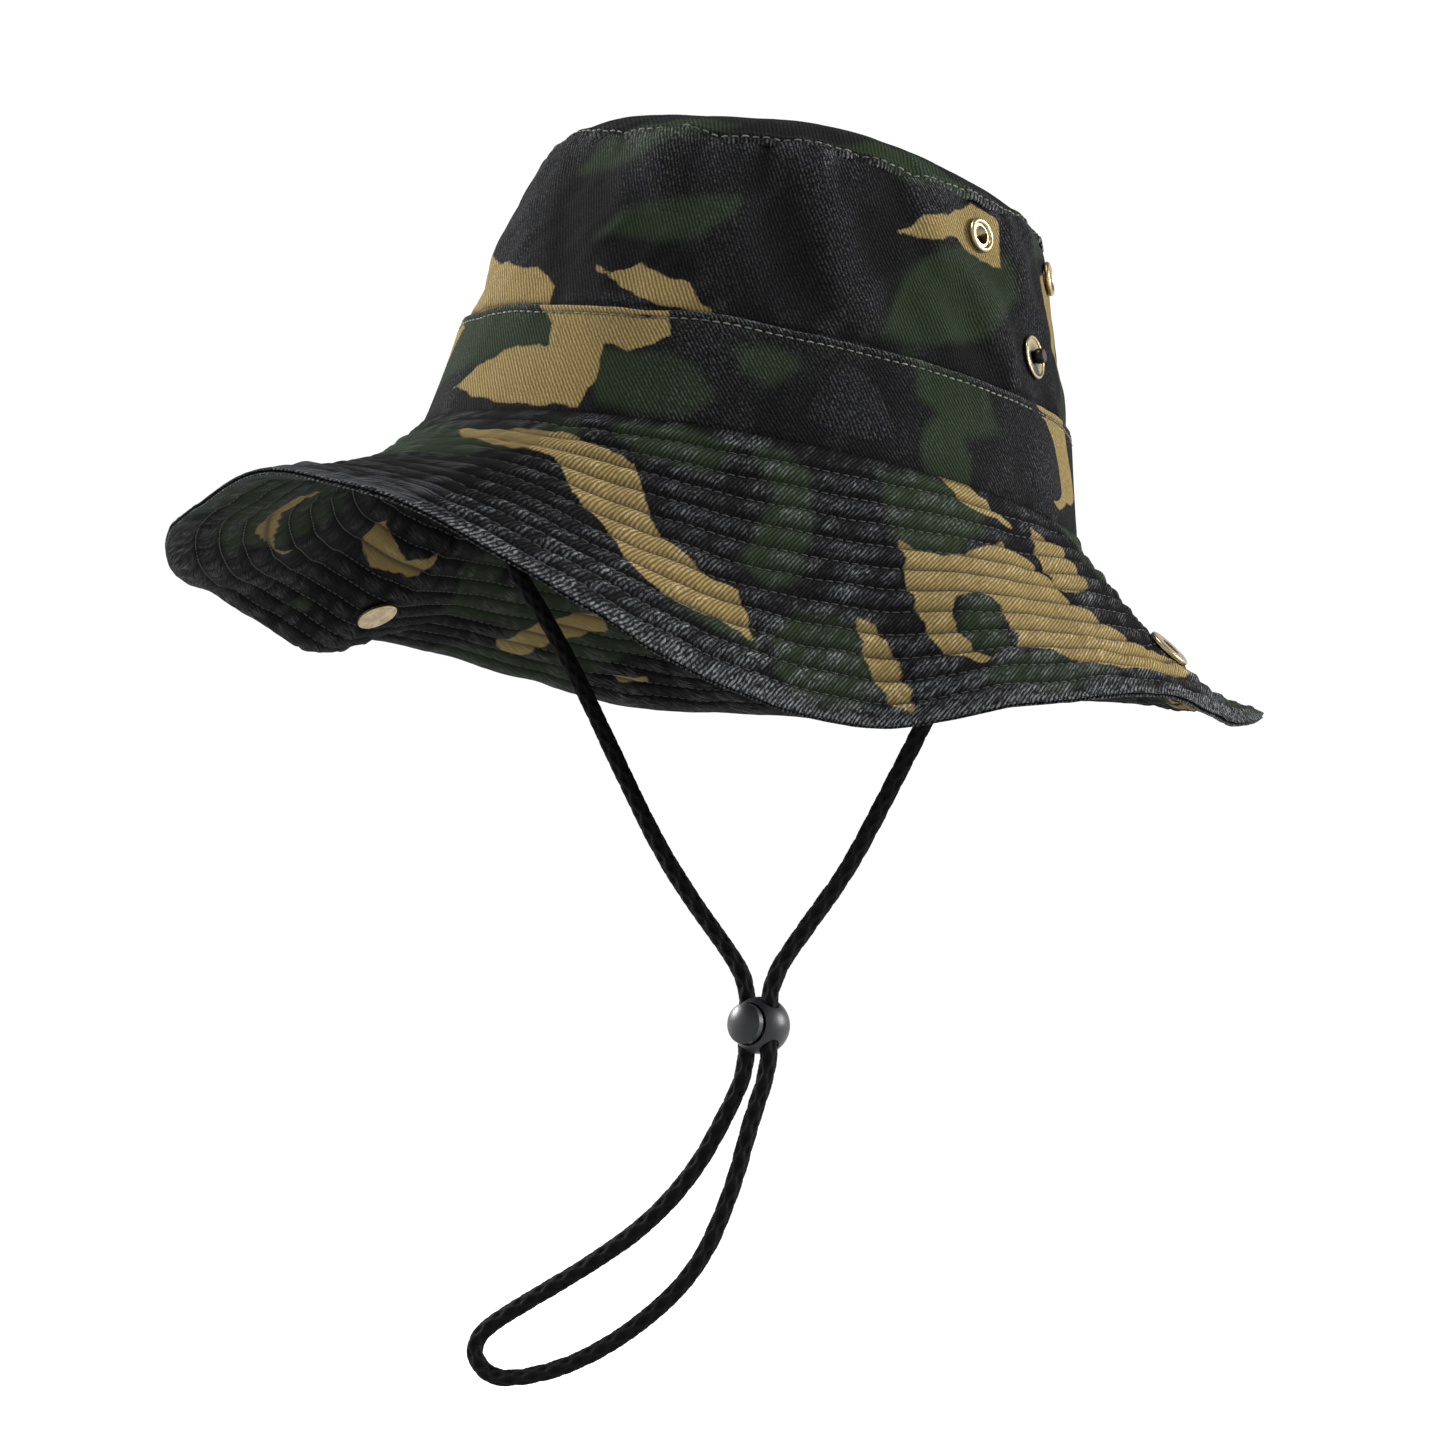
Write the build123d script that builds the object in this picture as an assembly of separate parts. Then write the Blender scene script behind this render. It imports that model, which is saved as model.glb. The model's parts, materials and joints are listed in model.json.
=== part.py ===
from build123d import *
import os
from math import atan, cos, degrees, exp, pi, radians, sin, sqrt, tan

# Bucket-crowned boonie hat. Millimetres. +Z runs up the crown, the front faces -Y, and the
# wearer's left is +X. The origin is the middle of the head opening, where crown meets brim.

# ---- driving dimensions -------------------------------------------------------------------
OVAL = 1.19               # a head is longer front to back than it is wide
ROOT_R = 86.6             # half width outside the crown where it meets the brim
BAND_TOP_R = 80.6         # half width at the band's upper edge
BAND_TOP_Z = 30.0
SHOULDER_R = 67.5         # half width at the seam between side and top
SHOULDER_Z = 79.5
DOME_RISE = 15.5          # the top panel's rise above that seam
CLOTH = 1.0               # a turned double layer of cotton twill
BAND_CLOTH = 0.9
PLY_GAP = 0.06            # air between layers that lie on each other

BRIM_ROOT_R = 87.0
BRIM_ROOT_Z = -1.1
PLY = 0.7                 # one brim ply with its quilting
STIFFENER = 0.55
BRIM_WIDTH = 75.5
BRIM_PULL = 4.0           # the width lost in the puckers behind the left snap
BRIM_PULL_AT = 125.0
BRIM_PULL_SPREAD = 35.0
SECTION_STEP = 15         # azimuth between the brim's lofted sections

# The brim's downward slope in degrees at its root and at its rim, every 15 degrees of azimuth
# from the front (-Y) round by the wearer's left (+X).
DROOP_STEP = 15
DROOP = [
    (39, 18), (51, 38), (63, 56), (66, 61), (57, 41), (52, 26),
    (42, 35), (64, 8), (76, -8), (70, -12), (57, -9), (46, -3),
    (41, 10), (43, 22), (48, 26), (54, 21), (58, 13), (68, 9),
    (78, 14), (66, 12), (64, 15), (55, 15), (45, 14), (36, 8),
]

FLAP_HALF = 56.0          # half length of the part of the brim that snaps up, along Y
HINGE_DROP = 1.7          # slant distance from the brim's root to its fold line
FLAP_START = 0.35         # the flap begins this far beyond the fold line
BRIM_STOP = 2.4           # and the fixed brim ends this far short of it
FLAP_SIDE_GAP = 0.6

SNAP_SLANT = 49.5         # from the brim's root to the snap
SNAP_R = 6.0
SNAP_PLATE = 1.1
SNAP_CLEAR = 0.4          # room under the snap's flat plates on the curved cloth
SNAP_HOLE_R = 2.6
STUD_Z = 42.5
STUD_RING_R = 6.0
STUD_BALL_R = 2.1
STUD_POST_R = 1.5
STUD_RISE = 2.0
POST_CAP_R = 4.5

EYELET_Z = 69.0
EYELET_Y = 23.5
EYELET_R = 4.7
EYELET_HOLE_R = 2.5
EYELET_ROLL = 0.75        # radius of the rolled rim

SWEATBAND_HEIGHT = 32.0
SWEATBAND_CLOTH = 0.9
TAPE_WIDTH = 6.0
TAB_SIZE = (4.8, 14.0, 13.0)
TAB_X = 79.0
TAB_PIVOT_Z = 3.5         # the middle of the tab's round lower end, which the cord swings about

CORD_D = 4.4
STRAND_GAP = 7.6          # between the two strands inside the lock
STRAND_BACK = -1.2        # the strands' place across the lock, from its middle
LOCK_CENTRE = (27.0, 0.0, -142.0)
LOCK_TILT = -8.7          # the lock hangs out of line with the crown
LOCK_TURN = -12.0         # its button faces a little to the wearer's right
LOCK_R = 7.8
LOCK_HALF = 7.5           # half height along the strands
LOCK_BORE_R = 2.6
LOCK_FACE = 5.2           # from the lock's middle to the body's open mouth
LOCK_DEPTH = 6.2          # and to the end of the button's bore
LEAD = 12.0               # how far above and below its middle a strand runs true to the lock
BUTTON_R = 5.4
BUTTON_CLEAR = 0.35
BUTTON_TRAVEL = 2.2
BUTTON_FACE = 9.4         # from the lock's middle to the button's domed face
BUTTON_BACK = 2.2
BUTTON_DOME_R = 9.0
SLOT_END = 1.3            # the button's slot for the strands, behind the lock's middle
SPRING_R = 2.6
SPRING_WIRE_R = 0.17
SPRING_TURNS = 2

# The chin cord's route as (x, z) points in the plane between the two sides of the hat. The
# strands go on to the lock, and the loop starts and ends there.
LEFT_STRAND = [
    (79.0, -4.4), (74.0, -22.0), (67.5, -40.0), (60.6, -58.0), (53.4, -77.5),
    (45.3, -98.5), (36.5, -113.5),
]
RIGHT_STRAND = [
    (-79.0, -4.4), (-76.5, -17.0), (-68.5, -28.0), (-56.0, -41.0), (-42.5, -57.5),
    (-26.5, -79.0), (-11.5, -98.5), (2.0, -112.5), (12.0, -121.5),
]
LOOP = [
    (21.5, -165.0), (14.5, -182.5), (2.5, -199.0), (-14.0, -213.0), (-31.0, -225.5),
    (-42.5, -234.5), (-44.5, -241.0), (-38.5, -246.5), (-28.5, -245.5), (-12.0, -238.5),
    (5.0, -225.5), (19.5, -208.5), (26.0, -187.0), (28.5, -166.5),
]


def brim_width(azimuth):
    away = (azimuth - BRIM_PULL_AT) / BRIM_PULL_SPREAD
    return BRIM_WIDTH - BRIM_PULL * exp(-away * away)


def droop(azimuth):
    """Slope in radians at the root and the rim, by a smooth curve through the stations."""
    place = (azimuth % 360) / DROOP_STEP
    k = int(place)
    f = place - k
    out = []
    for end in (0, 1):
        a, b, c, d = (DROOP[(k + step) % len(DROOP)][end] for step in (-1, 0, 1, 2))
        value = b + 0.5 * f * (c - a + f * (2 * a - 5 * b + 4 * c - d + f * (3 * (b - c) + d - a)))
        out.append(radians(value))
    return out


def profile(azimuth, slant):
    """Outward run, drop and slope at a slant distance down the brim, an arc of falling slope."""
    start, rim = droop(azimuth)
    rate = (rim - start) / brim_width(azimuth)
    if abs(rate) < 1e-5:
        rate = 1e-5
    angle = start + rate * slant
    return (sin(angle) - sin(start)) / rate, (cos(angle) - cos(start)) / rate, angle


def root(azimuth):
    """A point of the brim's root oval and the outward direction there."""
    a = radians(azimuth)
    half_length = BRIM_ROOT_R * OVAL
    x, y = BRIM_ROOT_R * sin(a), -half_length * cos(a)
    nx, ny = sin(a) / BRIM_ROOT_R, -cos(a) / half_length
    length = sqrt(nx * nx + ny * ny)
    return Vector(x, y, BRIM_ROOT_Z), Vector(nx / length, ny / length, 0)


def brim_point(azimuth, slant, height=0.0):
    """A point of the brim, with its height above the middle surface, along its normal."""
    start, out = root(azimuth)
    run, drop, slope = profile(azimuth, slant)
    return start + out * (run + height * sin(slope)) + Vector(0, 0, drop + height * cos(slope))


def brim_section(azimuth, low, high):
    """One radial cut through a ply: two arcs closed by two straight ends."""
    width = brim_width(azimuth)
    arcs = []
    for height in (low, high):
        arcs.append(ThreePointArc(
            brim_point(azimuth, 0, height),
            brim_point(azimuth, width / 2, height),
            brim_point(azimuth, width, height),
        ))
    ends = [Line(arcs[0] @ t, arcs[1] @ t) for t in (0, 1)]
    return Face(Wire([arcs[0].edge(), ends[1].edge(), arcs[1].edge(), ends[0].edge()]))


def brim_half(first, low, high):
    """Half of a ply's ring, from one side seam to the other."""
    count = round(180 / SECTION_STEP)
    return Solid.make_loft([brim_section(first + SECTION_STEP * k, low, high).outer_wire()
                            for k in range(count + 1)])


class Side:
    """The fold line and the snap of one side of the hat."""

    def __init__(self, azimuth):
        self.sign = 1 if azimuth < 180 else -1
        self.hinge = brim_point(azimuth, HINGE_DROP)
        snap = brim_point(azimuth, SNAP_SLANT)
        self.snap = snap
        self.slope = profile(azimuth, SNAP_SLANT)[2]
        self.normal = Vector(self.sign * sin(self.slope), 0, cos(self.slope))
        self.chord = (snap - self.hinge).normalized()

    def zone(self, start, half):
        """The space beyond the fold line that the flap takes."""
        across = Vector(0, 1, 0)
        plane = Plane(origin=self.hinge + self.chord * start, x_dir=across, z_dir=self.chord)
        return plane * Pos(0, 0, 75) * Box(2 * half, 260, 150)


LEFT = Side(90)
RIGHT = Side(270)
HALF_SEAM = 0.15          # keeps the two halves of a ply apart at the side seams


def oval(shape):
    """Stretches a round piece to the head's oval."""
    return scale(shape, by=(1, OVAL, 1))


def ring(points):
    """A closed shell of revolution from its cross-section, made oval."""
    face = make_face(Polyline(*[(x, 0, z) for x, z in points], close=True))
    return oval(revolve(face, Axis.Z))


def side_r(z):
    """Half width outside the crown's side wall."""
    if z <= BAND_TOP_Z:
        return ROOT_R + (BAND_TOP_R - ROOT_R) * z / BAND_TOP_Z
    return BAND_TOP_R + (SHOULDER_R - BAND_TOP_R) * (z - BAND_TOP_Z) / (SHOULDER_Z - BAND_TOP_Z)


def wall(low, high, outer, thick):
    """A band of the crown's wall, its outside set in from the crown's outline."""
    heights = [low, high] if not low < BAND_TOP_Z < high else [low, BAND_TOP_Z, high]
    outside = [(side_r(z) - outer, z) for z in heights]
    inside = [(side_r(z) - outer - thick, z) for z in reversed(heights)]
    return ring(outside + inside)


SIDE_INSET = BAND_CLOTH + PLY_GAP
WALL_TILT = degrees(atan((BAND_TOP_R - SHOULDER_R) / (SHOULDER_Z - BAND_TOP_Z)))


def wall_place(y, z, sign):
    """A frame on the crown's side wall with its Z axis pointing out of the hat."""
    r = side_r(z) - (0 if z < BAND_TOP_Z else SIDE_INSET)
    x = r * sqrt(1 - (y / (r * OVAL)) ** 2)
    out = Vector(x / r, y / (r * OVAL * OVAL), 0).normalized()
    lean = radians(WALL_TILT)
    z_dir = Vector(out.X * cos(lean) * sign, out.Y * cos(lean), sin(lean))
    return Plane(origin=(x * sign, y, z), x_dir=(0, 1, 0) if sign > 0 else (0, -1, 0), z_dir=z_dir)


def crown_top():
    """The domed top panel, with its turned edge over the shoulder seam."""
    steps = 7
    outside = []
    for k in range(steps + 1):
        r = SHOULDER_R * (1 - (k / steps) ** 2)
        outside.append((r, SHOULDER_Z + DOME_RISE * (1 - (r / SHOULDER_R) ** 2.6)))
    top = Spline(*[(x, 0, z) for x, z in outside], tangents=[(-0.1, 0, 1), (-1, 0, 0)])
    under = Spline(
        *[(max(x - CLOTH, 0), 0, z - CLOTH) for x, z in outside],
        tangents=[(-0.1, 0, 1), (-1, 0, 0)],
    )
    rim = Line(top @ 0, under @ 0)
    axis = Line(top @ 1, under @ 1)
    return oval(revolve(make_face([top, axis, under, rim]), Axis.Z))


def snap_holes():
    """The holes that the snaps' posts pass through in the brim."""
    posts = []
    for side in (LEFT, RIGHT):
        place = Plane(origin=side.snap, z_dir=side.normal)
        posts.append(place * Cylinder(SNAP_HOLE_R, 12))
    return posts


def cut(solid, tools):
    for tool in tools:
        solid = solid - tool
    return solid


def wall_holes(radius, y, z):
    """Holes through the side wall, on the wearer's left and right."""
    return [wall_place(y * end, z, sign) * Cylinder(radius, 14)
            for sign in (1, -1) for end in ((1, -1) if y else (1,))]


def brim_layers():
    """Each layer's name and its heights below and above the brim's middle surface."""
    core = STIFFENER / 2
    return {
        "upper": (core + PLY_GAP, core + PLY_GAP + PLY),
        "stiffener": (-core, core),
        "lower": (-core - PLY_GAP - PLY, -core - PLY_GAP),
    }


def brim():
    """The quilted brim: fixed front and back halves, and the flap that each side folds up."""
    parts = {}
    posts = snap_holes()
    fixed_zones = [side.zone(-BRIM_STOP, FLAP_HALF + FLAP_SIDE_GAP) for side in (LEFT, RIGHT)]
    for layer, (low, high) in brim_layers().items():
        halves = [brim_half(-90, low, high), brim_half(90, low, high)]
        seam = Pos(0, 0, -60) * Box(600, 2 * HALF_SEAM, 200)
        fixed = [cut(half, fixed_zones + [seam]) for half in halves]
        if layer == "stiffener":
            parts["brim_stiffener"] = Compound([s for half in fixed for s in half.solids()])
        else:
            parts[f"brim_front_{layer}"] = fixed[0]
            parts[f"brim_back_{layer}"] = fixed[1]
        for name, side in (("left", LEFT), ("right", RIGHT)):
            zone = side.zone(FLAP_START, FLAP_HALF)
            pieces = []
            for half in halves:
                piece = cut((half & zone), posts + [seam])
                pieces += piece.solids()
            parts[f"{name}_flap_{layer}"] = Compound(pieces)
    return parts


def snap(side):
    """A snap's socket on the brim's upper face and its cap on the underside."""
    top = brim_layers()["upper"][1] + PLY_GAP
    place = Plane(origin=side.snap, z_dir=side.normal)
    lift = top + SNAP_CLEAR + SNAP_PLATE / 2
    cup = Pos(0, 0, lift) * Cylinder(SNAP_R, SNAP_PLATE)
    cup = fillet(cup.edges().group_by(Axis.Z)[-1], 0.5)
    cup = cup - Pos(0, 0, lift) * Cylinder(SNAP_HOLE_R, 4)
    barrel = Cylinder(SNAP_HOLE_R - 0.1, 2 * (top + SNAP_CLEAR)) - Cylinder(SNAP_HOLE_R - 0.7, 8)
    disc = Pos(0, 0, -lift) * Cylinder(SNAP_R, SNAP_PLATE)
    disc = fillet(disc.edges().group_by(Axis.Z)[0], 0.6)
    return place * cup, place * (disc + barrel)


def stud(sign):
    """The snap's stud on the crown, and the cap that clinches its post inside."""
    place = wall_place(0, STUD_Z, sign)
    plate = Pos(0, 0, 0.4) * Cylinder(STUD_RING_R - 0.7, 0.5)
    ring_edge = Pos(0, 0, 0.6) * Torus(STUD_RING_R - 0.55, 0.45)
    post = Pos(0, 0, 0.2) * Cylinder(STUD_POST_R, 2 * CLOTH + 0.9)
    neck = Pos(0, 0, 1.2) * Cylinder(STUD_POST_R, STUD_RISE)
    ball = Pos(0, 0, STUD_RISE) * Sphere(STUD_BALL_R)
    ball = ball & Pos(0, 0, STUD_RISE) * Box(9, 9, 2.8)
    cap = Pos(0, 0, -CLOTH - 0.5) * Cylinder(POST_CAP_R, 0.8)
    cap = fillet(cap.edges().group_by(Axis.Z)[0], 0.35) - Cylinder(STUD_POST_R + 0.05, 8)
    return place * (plate + ring_edge + post + neck + ball), place * cap


def eyelet(y, sign):
    """A rolled brass eyelet and the washer that holds it inside the crown."""
    place = wall_place(y, EYELET_Z, sign)
    middle = EYELET_R - EYELET_ROLL
    rim = Pos(0, 0, EYELET_ROLL + 0.12) * Torus(middle, EYELET_ROLL)
    barrel = Pos(0, 0, -CLOTH / 2) * Cylinder(EYELET_HOLE_R + 0.45, CLOTH + 2.0)
    flange = Pos(0, 0, 0.55) * Cylinder(middle, 0.7)
    body = (rim + flange + barrel) - Cylinder(EYELET_HOLE_R, 12)
    washer = Pos(0, 0, -CLOTH - 0.5) * Cylinder(EYELET_R, 0.6) - Cylinder(EYELET_HOLE_R + 0.5, 12)
    return place * body, place * washer


def hardware():
    parts = {}
    for name, side in (("left", LEFT), ("right", RIGHT)):
        parts[f"{name}_stud"], parts[f"{name}_stud_cap"] = stud(side.sign)
        parts[f"{name}_snap_socket"], parts[f"{name}_snap_cap"] = snap(side)
        for place, y in (("front", -EYELET_Y), ("back", EYELET_Y)):
            both = eyelet(y, side.sign)
            parts[f"eyelet_{name}_{place}"], parts[f"eyelet_washer_{name}_{place}"] = both
    return parts


def crown():
    """The crown's panels, its outer band, its shoulder tape and its sweatband."""
    holes = wall_holes(EYELET_HOLE_R + 0.6, EYELET_Y, EYELET_Z)
    holes += wall_holes(STUD_POST_R + 0.15, 0, STUD_Z)
    inside = SIDE_INSET + CLOTH + PLY_GAP
    return {
        "crown_top": crown_top(),
        "crown_side": cut(wall(0.4, SHOULDER_Z - 1.2, SIDE_INSET, CLOTH), holes),
        "crown_band": wall(0.2, BAND_TOP_Z, 0, BAND_CLOTH),
        "shoulder_tape": wall(SHOULDER_Z - 2.0 - TAPE_WIDTH / 2, SHOULDER_Z - 2.0, inside, 0.6),
        "sweatband": wall(1.0, SWEATBAND_HEIGHT, inside, SWEATBAND_CLOTH),
    }


def tab(sign):
    """The folded cloth tab inside the sweatband that the chin cord is sewn into."""
    thick, wide, high = TAB_SIZE
    straight = high - wide / 2
    end = Rot(0, 90, 0) * Cylinder(wide / 2, thick)
    body = end + Pos(0, 0, straight / 2) * Box(thick, wide, straight)
    top = body.edges().filter_by(Axis.X).group_by(Axis.Z)[-1]
    return Pos(TAB_X * sign, 0, TAB_PIVOT_Z) * fillet(top, 2.0)


LOCK_PLACE = Pos(*LOCK_CENTRE) * Rot(0, LOCK_TILT, 0) * Rot(0, 0, LOCK_TURN)


def across(radius, start, end):
    """A cylinder along the lock's button axis, from one distance to another."""
    return Pos(0, (start + end) / 2, 0) * Rot(90, 0, 0) * Cylinder(radius, end - start)


def lock_body():
    """The ball-shaped body: a blind bore for the button, crossed by the strands' two holes."""
    body = Sphere(LOCK_R) & Box(40, 40, 2 * LOCK_HALF)
    body = body & Pos(0, 20 - LOCK_FACE, 0) * Box(40, 40, 40)
    body = body - across(BUTTON_R + BUTTON_CLEAR, -20, LOCK_DEPTH - 1.6)
    body = body - across(SPRING_R + 0.8, 0, LOCK_DEPTH)
    bores = [Pos(STRAND_GAP / 2 * end, STRAND_BACK, 0) * Cylinder(LOCK_BORE_R, 40)
             for end in (-1, 1)]
    return LOCK_PLACE * cut(body, bores)


def lock_button():
    """The button: a plunger with a domed face and a slot that the strands pass through."""
    dome = Pos(0, BUTTON_DOME_R - BUTTON_FACE, 0) * Sphere(BUTTON_DOME_R)
    body = across(BUTTON_R, -BUTTON_FACE, BUTTON_BACK)
    body = body & (dome + across(BUTTON_R + 1, -BUTTON_FACE + BUTTON_DOME_R / 2, 20))
    front = STRAND_BACK - LOCK_BORE_R - BUTTON_TRAVEL
    slot = Pos(0, (front + SLOT_END) / 2, 0) * Box(20, SLOT_END - front, 3.6)
    holes = [Pos(STRAND_GAP / 2 * end, (front + SLOT_END) / 2, 0)
             * Box(2 * LOCK_BORE_R, SLOT_END - front, 40) for end in (-1, 1)]
    return LOCK_PLACE * cut(body, holes + [slot])


def lock_spring():
    """The button's return spring, at rest between the button and the end of its bore."""
    length = LOCK_DEPTH - BUTTON_BACK - 2 * SPRING_WIRE_R - 0.2
    coil = Helix(pitch=length / SPRING_TURNS, height=length, radius=SPRING_R)
    wire = sweep(Plane(coil @ 0, z_dir=coil % 0) * Circle(SPRING_WIRE_R), path=coil)
    start = BUTTON_BACK + SPRING_WIRE_R + 0.1
    return LOCK_PLACE * Pos(0, start, 0) * Rot(-90, 0, 0) * wire


def lock_point(end, z):
    """A point on a strand's line through the lock."""
    point = (LOCK_PLACE * Pos(STRAND_GAP / 2 * end, STRAND_BACK, z)).position
    return (point.X, point.Y, point.Z)


def tube(name, route):
    """A cord's solid: straight runs joined by arcs as large as the runs allow."""
    points = [Vector(*p) for p in route]
    runs = [b - a for a, b in zip(points, points[1:])]
    radii = []
    for a, b in zip(runs, runs[1:]):
        half_turn = radians(a.get_angle(b)) / 2
        radii.append(0.45 * min(a.length, b.length) / tan(half_turn))
    path = FilletPolyline(*route, radius=radii)
    solid = sweep(Plane(path @ 0, z_dir=path % 0) * Circle(CORD_D / 2), path=path)
    wanted = pi * CORD_D ** 2 / 4 * path.length
    print(name, "radii", [round(r, 1) for r in radii])
    print(name, "length", round(path.length, 1), "volume ratio", round(solid.volume / wanted, 4))
    return solid


def flat(points):
    return [(x, 0.0, z) for x, z in points]


def cords():
    left = flat(LEFT_STRAND) + [lock_point(1, LEAD), lock_point(1, 0)]
    right = flat(RIGHT_STRAND) + [lock_point(-1, LEAD), lock_point(-1, 0)]
    loop = [lock_point(-1, 0), lock_point(-1, -LEAD)] + flat(LOOP)
    loop += [lock_point(1, -LEAD), lock_point(1, 0)]
    return {
        "cord_strand_left": tube("left strand", left),
        "cord_strand_right": tube("right strand", right),
        "cord_loop": tube("loop", loop),
    }


def build_all():
    parts = {}
    parts.update(crown())
    parts.update(brim())
    parts.update(hardware())
    parts["cord_tab_left"] = tab(1)
    parts["cord_tab_right"] = tab(-1)
    parts["lock_body"] = lock_body()
    parts["lock_button"] = lock_button()
    parts["lock_spring"] = lock_spring()
    parts.update(cords())
    return parts


os.makedirs("parts", exist_ok=True)
for node, shape in build_all().items():
    export_step(shape, f"parts/{node}.step")
for name, side in (("left", LEFT), ("right", RIGHT)):
    print(name, "fold line at", side.hinge, "snap at", side.snap)
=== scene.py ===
import json
from math import cos, pi, radians, sin

import bmesh
import bpy
import numpy as np
from mathutils import Matrix, Vector


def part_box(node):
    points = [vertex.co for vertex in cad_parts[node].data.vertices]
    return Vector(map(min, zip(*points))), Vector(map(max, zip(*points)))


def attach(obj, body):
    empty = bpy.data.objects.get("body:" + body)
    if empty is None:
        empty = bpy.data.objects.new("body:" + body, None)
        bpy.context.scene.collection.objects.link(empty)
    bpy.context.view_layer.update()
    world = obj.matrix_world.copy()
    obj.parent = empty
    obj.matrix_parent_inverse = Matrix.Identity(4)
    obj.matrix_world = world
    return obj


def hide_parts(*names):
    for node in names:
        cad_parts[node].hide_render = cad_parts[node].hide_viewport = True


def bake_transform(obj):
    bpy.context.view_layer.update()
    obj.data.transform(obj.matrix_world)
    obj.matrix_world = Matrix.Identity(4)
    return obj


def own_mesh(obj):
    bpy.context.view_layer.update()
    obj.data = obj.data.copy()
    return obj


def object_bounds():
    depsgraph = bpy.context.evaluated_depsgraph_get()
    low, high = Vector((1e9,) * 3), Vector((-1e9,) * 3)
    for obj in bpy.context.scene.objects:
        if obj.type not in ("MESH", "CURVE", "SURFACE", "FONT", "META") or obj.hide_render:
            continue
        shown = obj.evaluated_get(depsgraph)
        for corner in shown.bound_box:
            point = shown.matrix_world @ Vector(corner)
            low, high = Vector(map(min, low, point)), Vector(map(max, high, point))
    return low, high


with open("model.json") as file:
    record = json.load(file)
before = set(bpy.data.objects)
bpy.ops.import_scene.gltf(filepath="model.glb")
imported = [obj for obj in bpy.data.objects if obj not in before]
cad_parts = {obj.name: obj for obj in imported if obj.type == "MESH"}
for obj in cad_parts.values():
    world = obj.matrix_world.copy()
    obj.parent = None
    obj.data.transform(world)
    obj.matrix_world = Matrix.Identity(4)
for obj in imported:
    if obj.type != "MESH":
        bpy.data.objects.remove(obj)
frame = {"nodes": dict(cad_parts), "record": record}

CAD_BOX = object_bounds()
MM = 0.001

# ---- the hat's cut, in millimetres, as the CAD model has it
OVAL = 1.19
ROOT_R, BAND_TOP_R, BAND_TOP_Z = 86.6, 80.6, 30.0
SHOULDER_R, SHOULDER_Z, DOME_RISE = 67.5, 79.5, 17.0
SIDE_INSET = 0.96
BRIM_ROOT_R, BRIM_ROOT_Z = 87.0, -1.1
BRIM_WIDTH, BRIM_PULL, BRIM_PULL_AT, BRIM_PULL_SPREAD = 75.5, 4.0, 125.0, 35.0
BRIM_HALF = 1.035         # half the brim's thickness
# the brim's downward slope in degrees at its root and its rim, every 15 degrees of azimuth
DROOP_STEP = 15
DROOP = np.array([
    (39, 18), (51, 38), (63, 56), (66, 61), (57, 41), (52, 26),
    (42, 35), (64, 8), (76, -8), (70, -12), (57, -9), (46, -3),
    (41, 10), (43, 22), (48, 26), (54, 21), (58, 13), (68, 9),
    (78, 14), (66, 12), (64, 15), (55, 15), (45, 14), (36, 8),
], float)
ROW_GAP = 6.4             # between the brim's rows of stitching
FIRST_ROW = 4.9
ROWS = 11
CLOTH = 0.75              # thickness of the crown's cloth


# ---- camera
AIM = Vector((1.8, 0.0, -62.7)) * MM
CAMERA_DISTANCE = 1.118
CAMERA_AZIMUTH, CAMERA_ELEVATION, CAMERA_ROLL = 27.36, -4.96, -8.8
LENS = 103.1


def add_camera():
    a, e = radians(CAMERA_AZIMUTH), radians(CAMERA_ELEVATION)
    back = Vector((sin(a) * cos(e), -cos(a) * cos(e), sin(e)))
    turn = back.to_track_quat("Z", "Y").to_matrix() @ Matrix.Rotation(radians(-CAMERA_ROLL), 3, "Z")
    data = bpy.data.cameras.new("camera")
    data.lens, data.sensor_width = LENS, 36.0
    camera = bpy.data.objects.new("camera", data)
    bpy.context.collection.objects.link(camera)
    camera.matrix_world = Matrix.Translation(AIM + back * CAMERA_DISTANCE) @ turn.to_4x4()
    bpy.context.scene.camera = camera


add_camera()


# ---- noise
def lattice(ix, iy, iz, seed):
    n = (ix * 374761393 + iy * 668265263 + iz * 1440662683 + seed * 974634777) & 0xFFFFFFFF
    n = ((n ^ (n >> 13)) * 1274126177) & 0xFFFFFFFF
    n = ((n ^ (n >> 15)) * 461845907) & 0xFFFFFFFF
    return ((n ^ (n >> 16)) & 0xFFFF) / 32767.5 - 1


def noise(x, y, z=0.0, seed=0):
    """Smooth value noise from -1 to 1, the same on every run."""
    x, y, z = np.broadcast_arrays(x, y, z)
    ix, iy, iz = (np.floor(v).astype(np.int64) for v in (x, y, z))
    fx, fy, fz = x - ix, y - iy, z - iz
    fx, fy, fz = (f * f * f * (f * (f * 6 - 15) + 10) for f in (fx, fy, fz))
    total = 0.0
    for dx in (0, 1):
        for dy in (0, 1):
            for dz in (0, 1):
                weight = (fx if dx else 1 - fx) * (fy if dy else 1 - fy) * (fz if dz else 1 - fz)
                total = total + weight * lattice(ix + dx, iy + dy, iz + dz, seed)
    return total


def layered(points, size, octaves, seed):
    """Noise in object space with finer octaves added; size is in millimetres."""
    total, weight, norm = 0.0, 1.0, 0.0
    for k in range(octaves):
        q = points / size * 2 ** k
        total = total + weight * noise(q[..., 0], q[..., 1], q[..., 2], seed + k)
        norm += weight
        weight *= 0.5
    return total / norm


def round_noise(a, pitch, v, seed, r=95.0):
    """Noise that closes up round the head: pitch in millimetres along an oval of half width r."""
    return noise(r * np.sin(a) / pitch + 31.7, r * np.cos(a) / pitch + 11.3, v, seed)


def smooth(t, low, high):
    t = np.clip((t - low) / (high - low), 0, 1)
    return t * t * (3 - 2 * t)


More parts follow.
